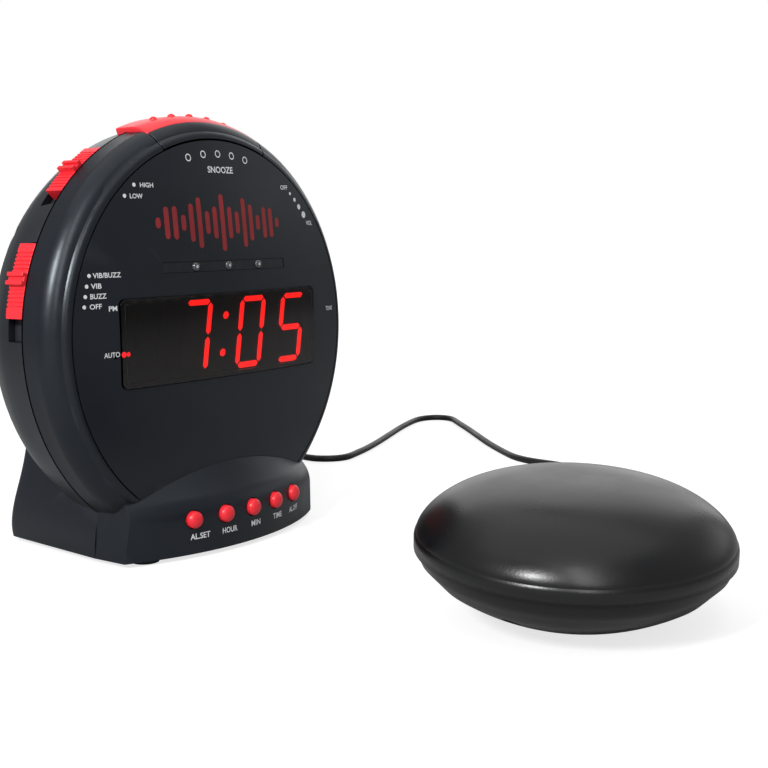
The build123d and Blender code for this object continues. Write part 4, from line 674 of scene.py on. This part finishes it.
soft_edges = (("front_shell", "case", 0.25), ("rear_shell", "case", 0.25), ("snooze_bar", "snooze", 0.25),
              ("snooze_cap", "snooze", 0.35), ("mode_slider", "mode", 0.16), ("dimmer_slider", "dimmer", 0.16),
              ("display_lens", "case", 0.45), ("face_panel", "case", 0.15), ("shaker_bottom", "case", 0.2))
grip_share, rib_share, rib_depth = 0.62, 0.85, 0.6
merge_distance = 0.004 * mm


def lower_grip(points):
    """The sliders' grip is as low as the real one and its ribs a little shallower, along the rim's radius."""
    x, z = points[:, 0], points[:, 2] - axis_h * mm
    radius, out = np.hypot(x, z), (drum_r + 0.1) * mm
    wanted = np.where(radius > out, out + (radius - out) * grip_share,
                      np.where(radius > out - rib_depth * mm, out - (out - radius) * rib_share, radius))
    return np.column_stack((x * wanted / radius, points[:, 1], z * wanted / radius + axis_h * mm))


def softened(name, width, body, slot_name, steps=2, sharp=32.0):
    """A copy of a node with its doubled points merged and its sharp edges rounded, which stands for the node."""
    shape = bmesh.new()
    shape.from_mesh(nodes[name].data)
    bmesh.ops.remove_doubles(shape, verts=shape.verts, dist=merge_distance)
    bmesh.ops.dissolve_degenerate(shape, edges=shape.edges, dist=merge_distance)
    points = np.array([tuple(corner.co) for corner in shape.verts])
    shape.verts.index_update()
    faces = [tuple(corner.index for corner in face.verts) for face in shape.faces]
    shape.free()
    if name in ("mode_slider", "dimmer_slider"):
        points = lower_grip(points)
    piece = surface(f"{name}_skin", points, faces, finishes()[slot_name])
    piece.data.set_sharp_from_angle(angle=radians(sharp))
    round_over = piece.modifiers.new("rounded edges", "BEVEL")
    round_over.limit_method, round_over.angle_limit = "ANGLE", radians(sharp)
    round_over.width, round_over.segments = width * mm, steps
    round_over.harden_normals = True
    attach(piece, body)
    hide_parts(name)
    return piece


class CLOCK_OT_finishes(Operator):
    """Give every carried-over piece its finish and soften the edges that catch the light"""
    bl_idname = "clock.finishes"
    bl_label = "Finishes"

    def execute(self, context):
        slot_of = {s["node"]: s["material_slot"] for s in frame["record"]["subparts"]}
        made = finishes()
        for name, piece in nodes.items():
            piece.data.materials.clear()
            piece.data.materials.append(made[slot_of[name]])
        for name, body, width in soft_edges:
            softened(name, width, body, slot_of[name])
        return {"FINISHED"}


# Studio: the floor, the lamps and the camera, in metres and degrees

camera_place = (-0.312885, -0.234066, 0.106994)
camera_yaw, camera_pitch, camera_roll = 54.27, 7.10, -0.70
sensor_w, clip_near, clip_far = 36.0, 0.01, 50
floor_reach, floor_lines, floor_grey = 6, 25, 0.42
glow_from, glow_to, glow_least = 0.4, 1.5, 0.74

# Each lamp's name, place, target, size, power as named in the setup, and share of that power
lamps = (("top lamp", (0.00, 0.05, 1.20), (0.0, 0.0, 0.05), (1.5, 1.5), "key", 1.0),
         ("left lamp", (-0.72, -0.60, 0.70), (-0.06, 0.06, 0.09), (0.10, 0.90), "side", 1.1),
         ("right lamp", (1.30, -0.62, 0.50), (0.05, 0.06, 0.08), (0.8, 0.45), "side", 0.16),
         ("far left lamp", (-0.90, -0.08, 0.58), (-0.05, -0.09, 0.03), (0.14, 0.20), "side", 2.6),
         ("back lamp", (1.20, 0.75, 0.60), (0.0, -0.03, 0.05), (1.9, 1.2), "back", 1.0))


class CLOCK_OT_studio(Operator):
    """Set out the pale floor, the soft lamps and the camera"""
    bl_idname = "clock.studio"
    bl_label = "Studio"

    def execute(self, context):
        scene, setup = context.scene, context.scene.studio_setup
        camera = bpy.data.objects.new("camera", bpy.data.cameras.new("camera"))
        scene.collection.objects.link(camera)
        camera.data.sensor_width, camera.data.lens = sensor_w, setup.lens
        yaw, pitch, roll = radians(camera_yaw), radians(camera_pitch), radians(camera_roll)
        ahead = Vector((sin(yaw) * cos(pitch), cos(yaw) * cos(pitch), -sin(pitch)))
        right = Vector((cos(yaw), -sin(yaw), 0))
        up = right.cross(ahead)
        right, up = cos(roll) * right + sin(roll) * up, cos(roll) * up - sin(roll) * right
        turn = Matrix((right, up, -ahead)).transposed()
        camera.matrix_world = Matrix.Translation(camera_place) @ turn.to_4x4()
        camera.data.clip_start, camera.data.clip_end = clip_near, clip_far
        scene.camera = camera
        scene.view_settings.view_transform = "Standard"

        # Floor: a wide flat sheet, white to the camera and pale to everything else
        lines = np.linspace(-floor_reach, floor_reach, floor_lines)
        across, along = np.meshgrid(lines, lines)
        points = np.column_stack((across.ravel(), along.ravel(), np.zeros(across.size)))
        floor = surface("floor", points, grid_faces(floor_lines, floor_lines), pale_floor())
        world = bpy.data.worlds.new("studio")
        scene.world = world
        world.use_nodes = True
        n, l = world.node_tree.nodes, world.node_tree.links
        n.clear()
        out, seen, lit = n.new("ShaderNodeOutputWorld"), n.new("ShaderNodeBackground"), n.new("ShaderNodeBackground")
        mix, path = n.new("ShaderNodeMixShader"), n.new("ShaderNodeLightPath")
        seen.inputs["Strength"].default_value = 1.0
        seen.inputs["Color"].default_value = (1, 1, 1, 1)
        lit.inputs["Color"].default_value = (1, 1, 1, 1)
        lit.inputs["Strength"].default_value = setup.sky
        l.new(path.outputs["Is Camera Ray"], mix.inputs[0])
        l.new(lit.outputs[0], mix.inputs[1])
        l.new(seen.outputs[0], mix.inputs[2])
        l.new(mix.outputs[0], out.inputs[0])
        for name, place, target, size, power, share in lamps:
            lamp = bpy.data.objects.new(name, bpy.data.lights.new(name, "AREA"))
            lamp.data.shape = "RECTANGLE"
            lamp.data.size, lamp.data.size_y = size
            lamp.data.energy = getattr(setup, power) * share
            scene.collection.objects.link(lamp)
            aim = (Vector(target) - Vector(place)).to_track_quat("-Z", "Y")
            lamp.matrix_world = Matrix.Translation(place) @ aim.to_matrix().to_4x4()
        return {"FINISHED"}


def pale_floor():
    """White to the camera where light falls on it, with the object's shadow left in, and pale to the rest."""
    made = bpy.data.materials.new("Pale floor")
    made.use_nodes = True
    n, l = made.node_tree.nodes, made.node_tree.links
    shader, path, share = n["Principled BSDF"], n.new("ShaderNodeLightPath"), n.new("ShaderNodeMath")
    place, away, rise = n.new("ShaderNodeTexCoord"), n.new("ShaderNodeVectorMath"), n.new("ShaderNodeMapRange")
    shader.inputs["Base Color"].default_value = (floor_grey, floor_grey, floor_grey, 1)
    shader.inputs["Roughness"].default_value = 0.9
    shader.inputs["Specular IOR Level"].default_value = 0.05
    shader.inputs["Emission Color"].default_value = (1, 1, 1, 1)
    away.operation, share.operation = "LENGTH", "MULTIPLY"
    rise.inputs["From Min"].default_value, rise.inputs["From Max"].default_value = glow_from, glow_to
    rise.inputs["To Min"].default_value = glow_least
    l.new(place.outputs["Object"], away.inputs[0])
    l.new(away.outputs["Value"], rise.inputs["Value"])
    l.new(path.outputs["Is Camera Ray"], share.inputs[0])
    l.new(rise.outputs["Result"], share.inputs[1])
    l.new(share.outputs["Value"], shader.inputs["Emission Strength"])
    return made


def grid_faces(rows, columns, closed=False):
    """Quads of a grid of points, row by row, the rows joined end to end if closed."""
    row, column = np.meshgrid(np.arange(rows - 1), np.arange(columns if closed else columns - 1), indexing="ij")
    row, column = row.ravel(), column.ravel()
    after = (column + 1) % columns
    return np.column_stack((row * columns + column, row * columns + after,
                            (row + 1) * columns + after, (row + 1) * columns + column))


def surface(name, points, faces, material, smooth=True):
    """A mesh object at the origin from arrays of points and faces."""
    mesh = bpy.data.meshes.new(name)
    mesh.from_pydata(points.tolist(), [], [list(face) for face in faces])
    mesh.polygons.foreach_set("use_smooth", np.full(len(mesh.polygons), smooth))
    mesh.materials.append(material)
    mesh.update()
    made = bpy.data.objects.new(name, mesh)
    bpy.context.scene.collection.objects.link(made)
    return made


class CLOCK_PT_panel(Panel):
    """The clock's sizes, colours and steps"""
    bl_idname = "CLOCK_PT_panel"
    bl_label = "Bed shaker alarm clock"
    bl_space_type = "VIEW_3D"
    bl_region_type = "UI"
    bl_category = "Clock"

    def draw(self, context):
        scene = context.scene
        for group in (scene.clock_colours, scene.lead_sizes, scene.studio_setup):
            for name in group.__annotations__:
                self.layout.prop(group, name)
        for step in steps:
            self.layout.operator(step.bl_idname)


groups = (ClockColours, LeadSizes, StudioSetup)
steps = (CLOCK_OT_studio, CLOCK_OT_lead, CLOCK_OT_finishes, CLOCK_OT_display, CLOCK_OT_trim, CLOCK_OT_printing)


def register():
    """Registers the groups, the steps and the panel."""
    for made in (*groups, *steps, CLOCK_PT_panel):
        bpy.utils.register_class(made)
    bpy.types.Scene.clock_colours = PointerProperty(type=ClockColours)
    bpy.types.Scene.lead_sizes = PointerProperty(type=LeadSizes)
    bpy.types.Scene.studio_setup = PointerProperty(type=StudioSetup)


def unregister():
    """Takes them out again."""
    del bpy.types.Scene.studio_setup, bpy.types.Scene.lead_sizes, bpy.types.Scene.clock_colours
    for made in reversed((*groups, *steps, CLOCK_PT_panel)):
        bpy.utils.unregister_class(made)


def main():
    """Runs every step in order."""
    register()
    bpy.ops.clock.studio()
    bpy.ops.clock.lead()
    bpy.ops.clock.finishes()
    bpy.ops.clock.display()
    bpy.ops.clock.trim()
    bpy.ops.clock.printing()


if __name__ == "__main__":
    main()
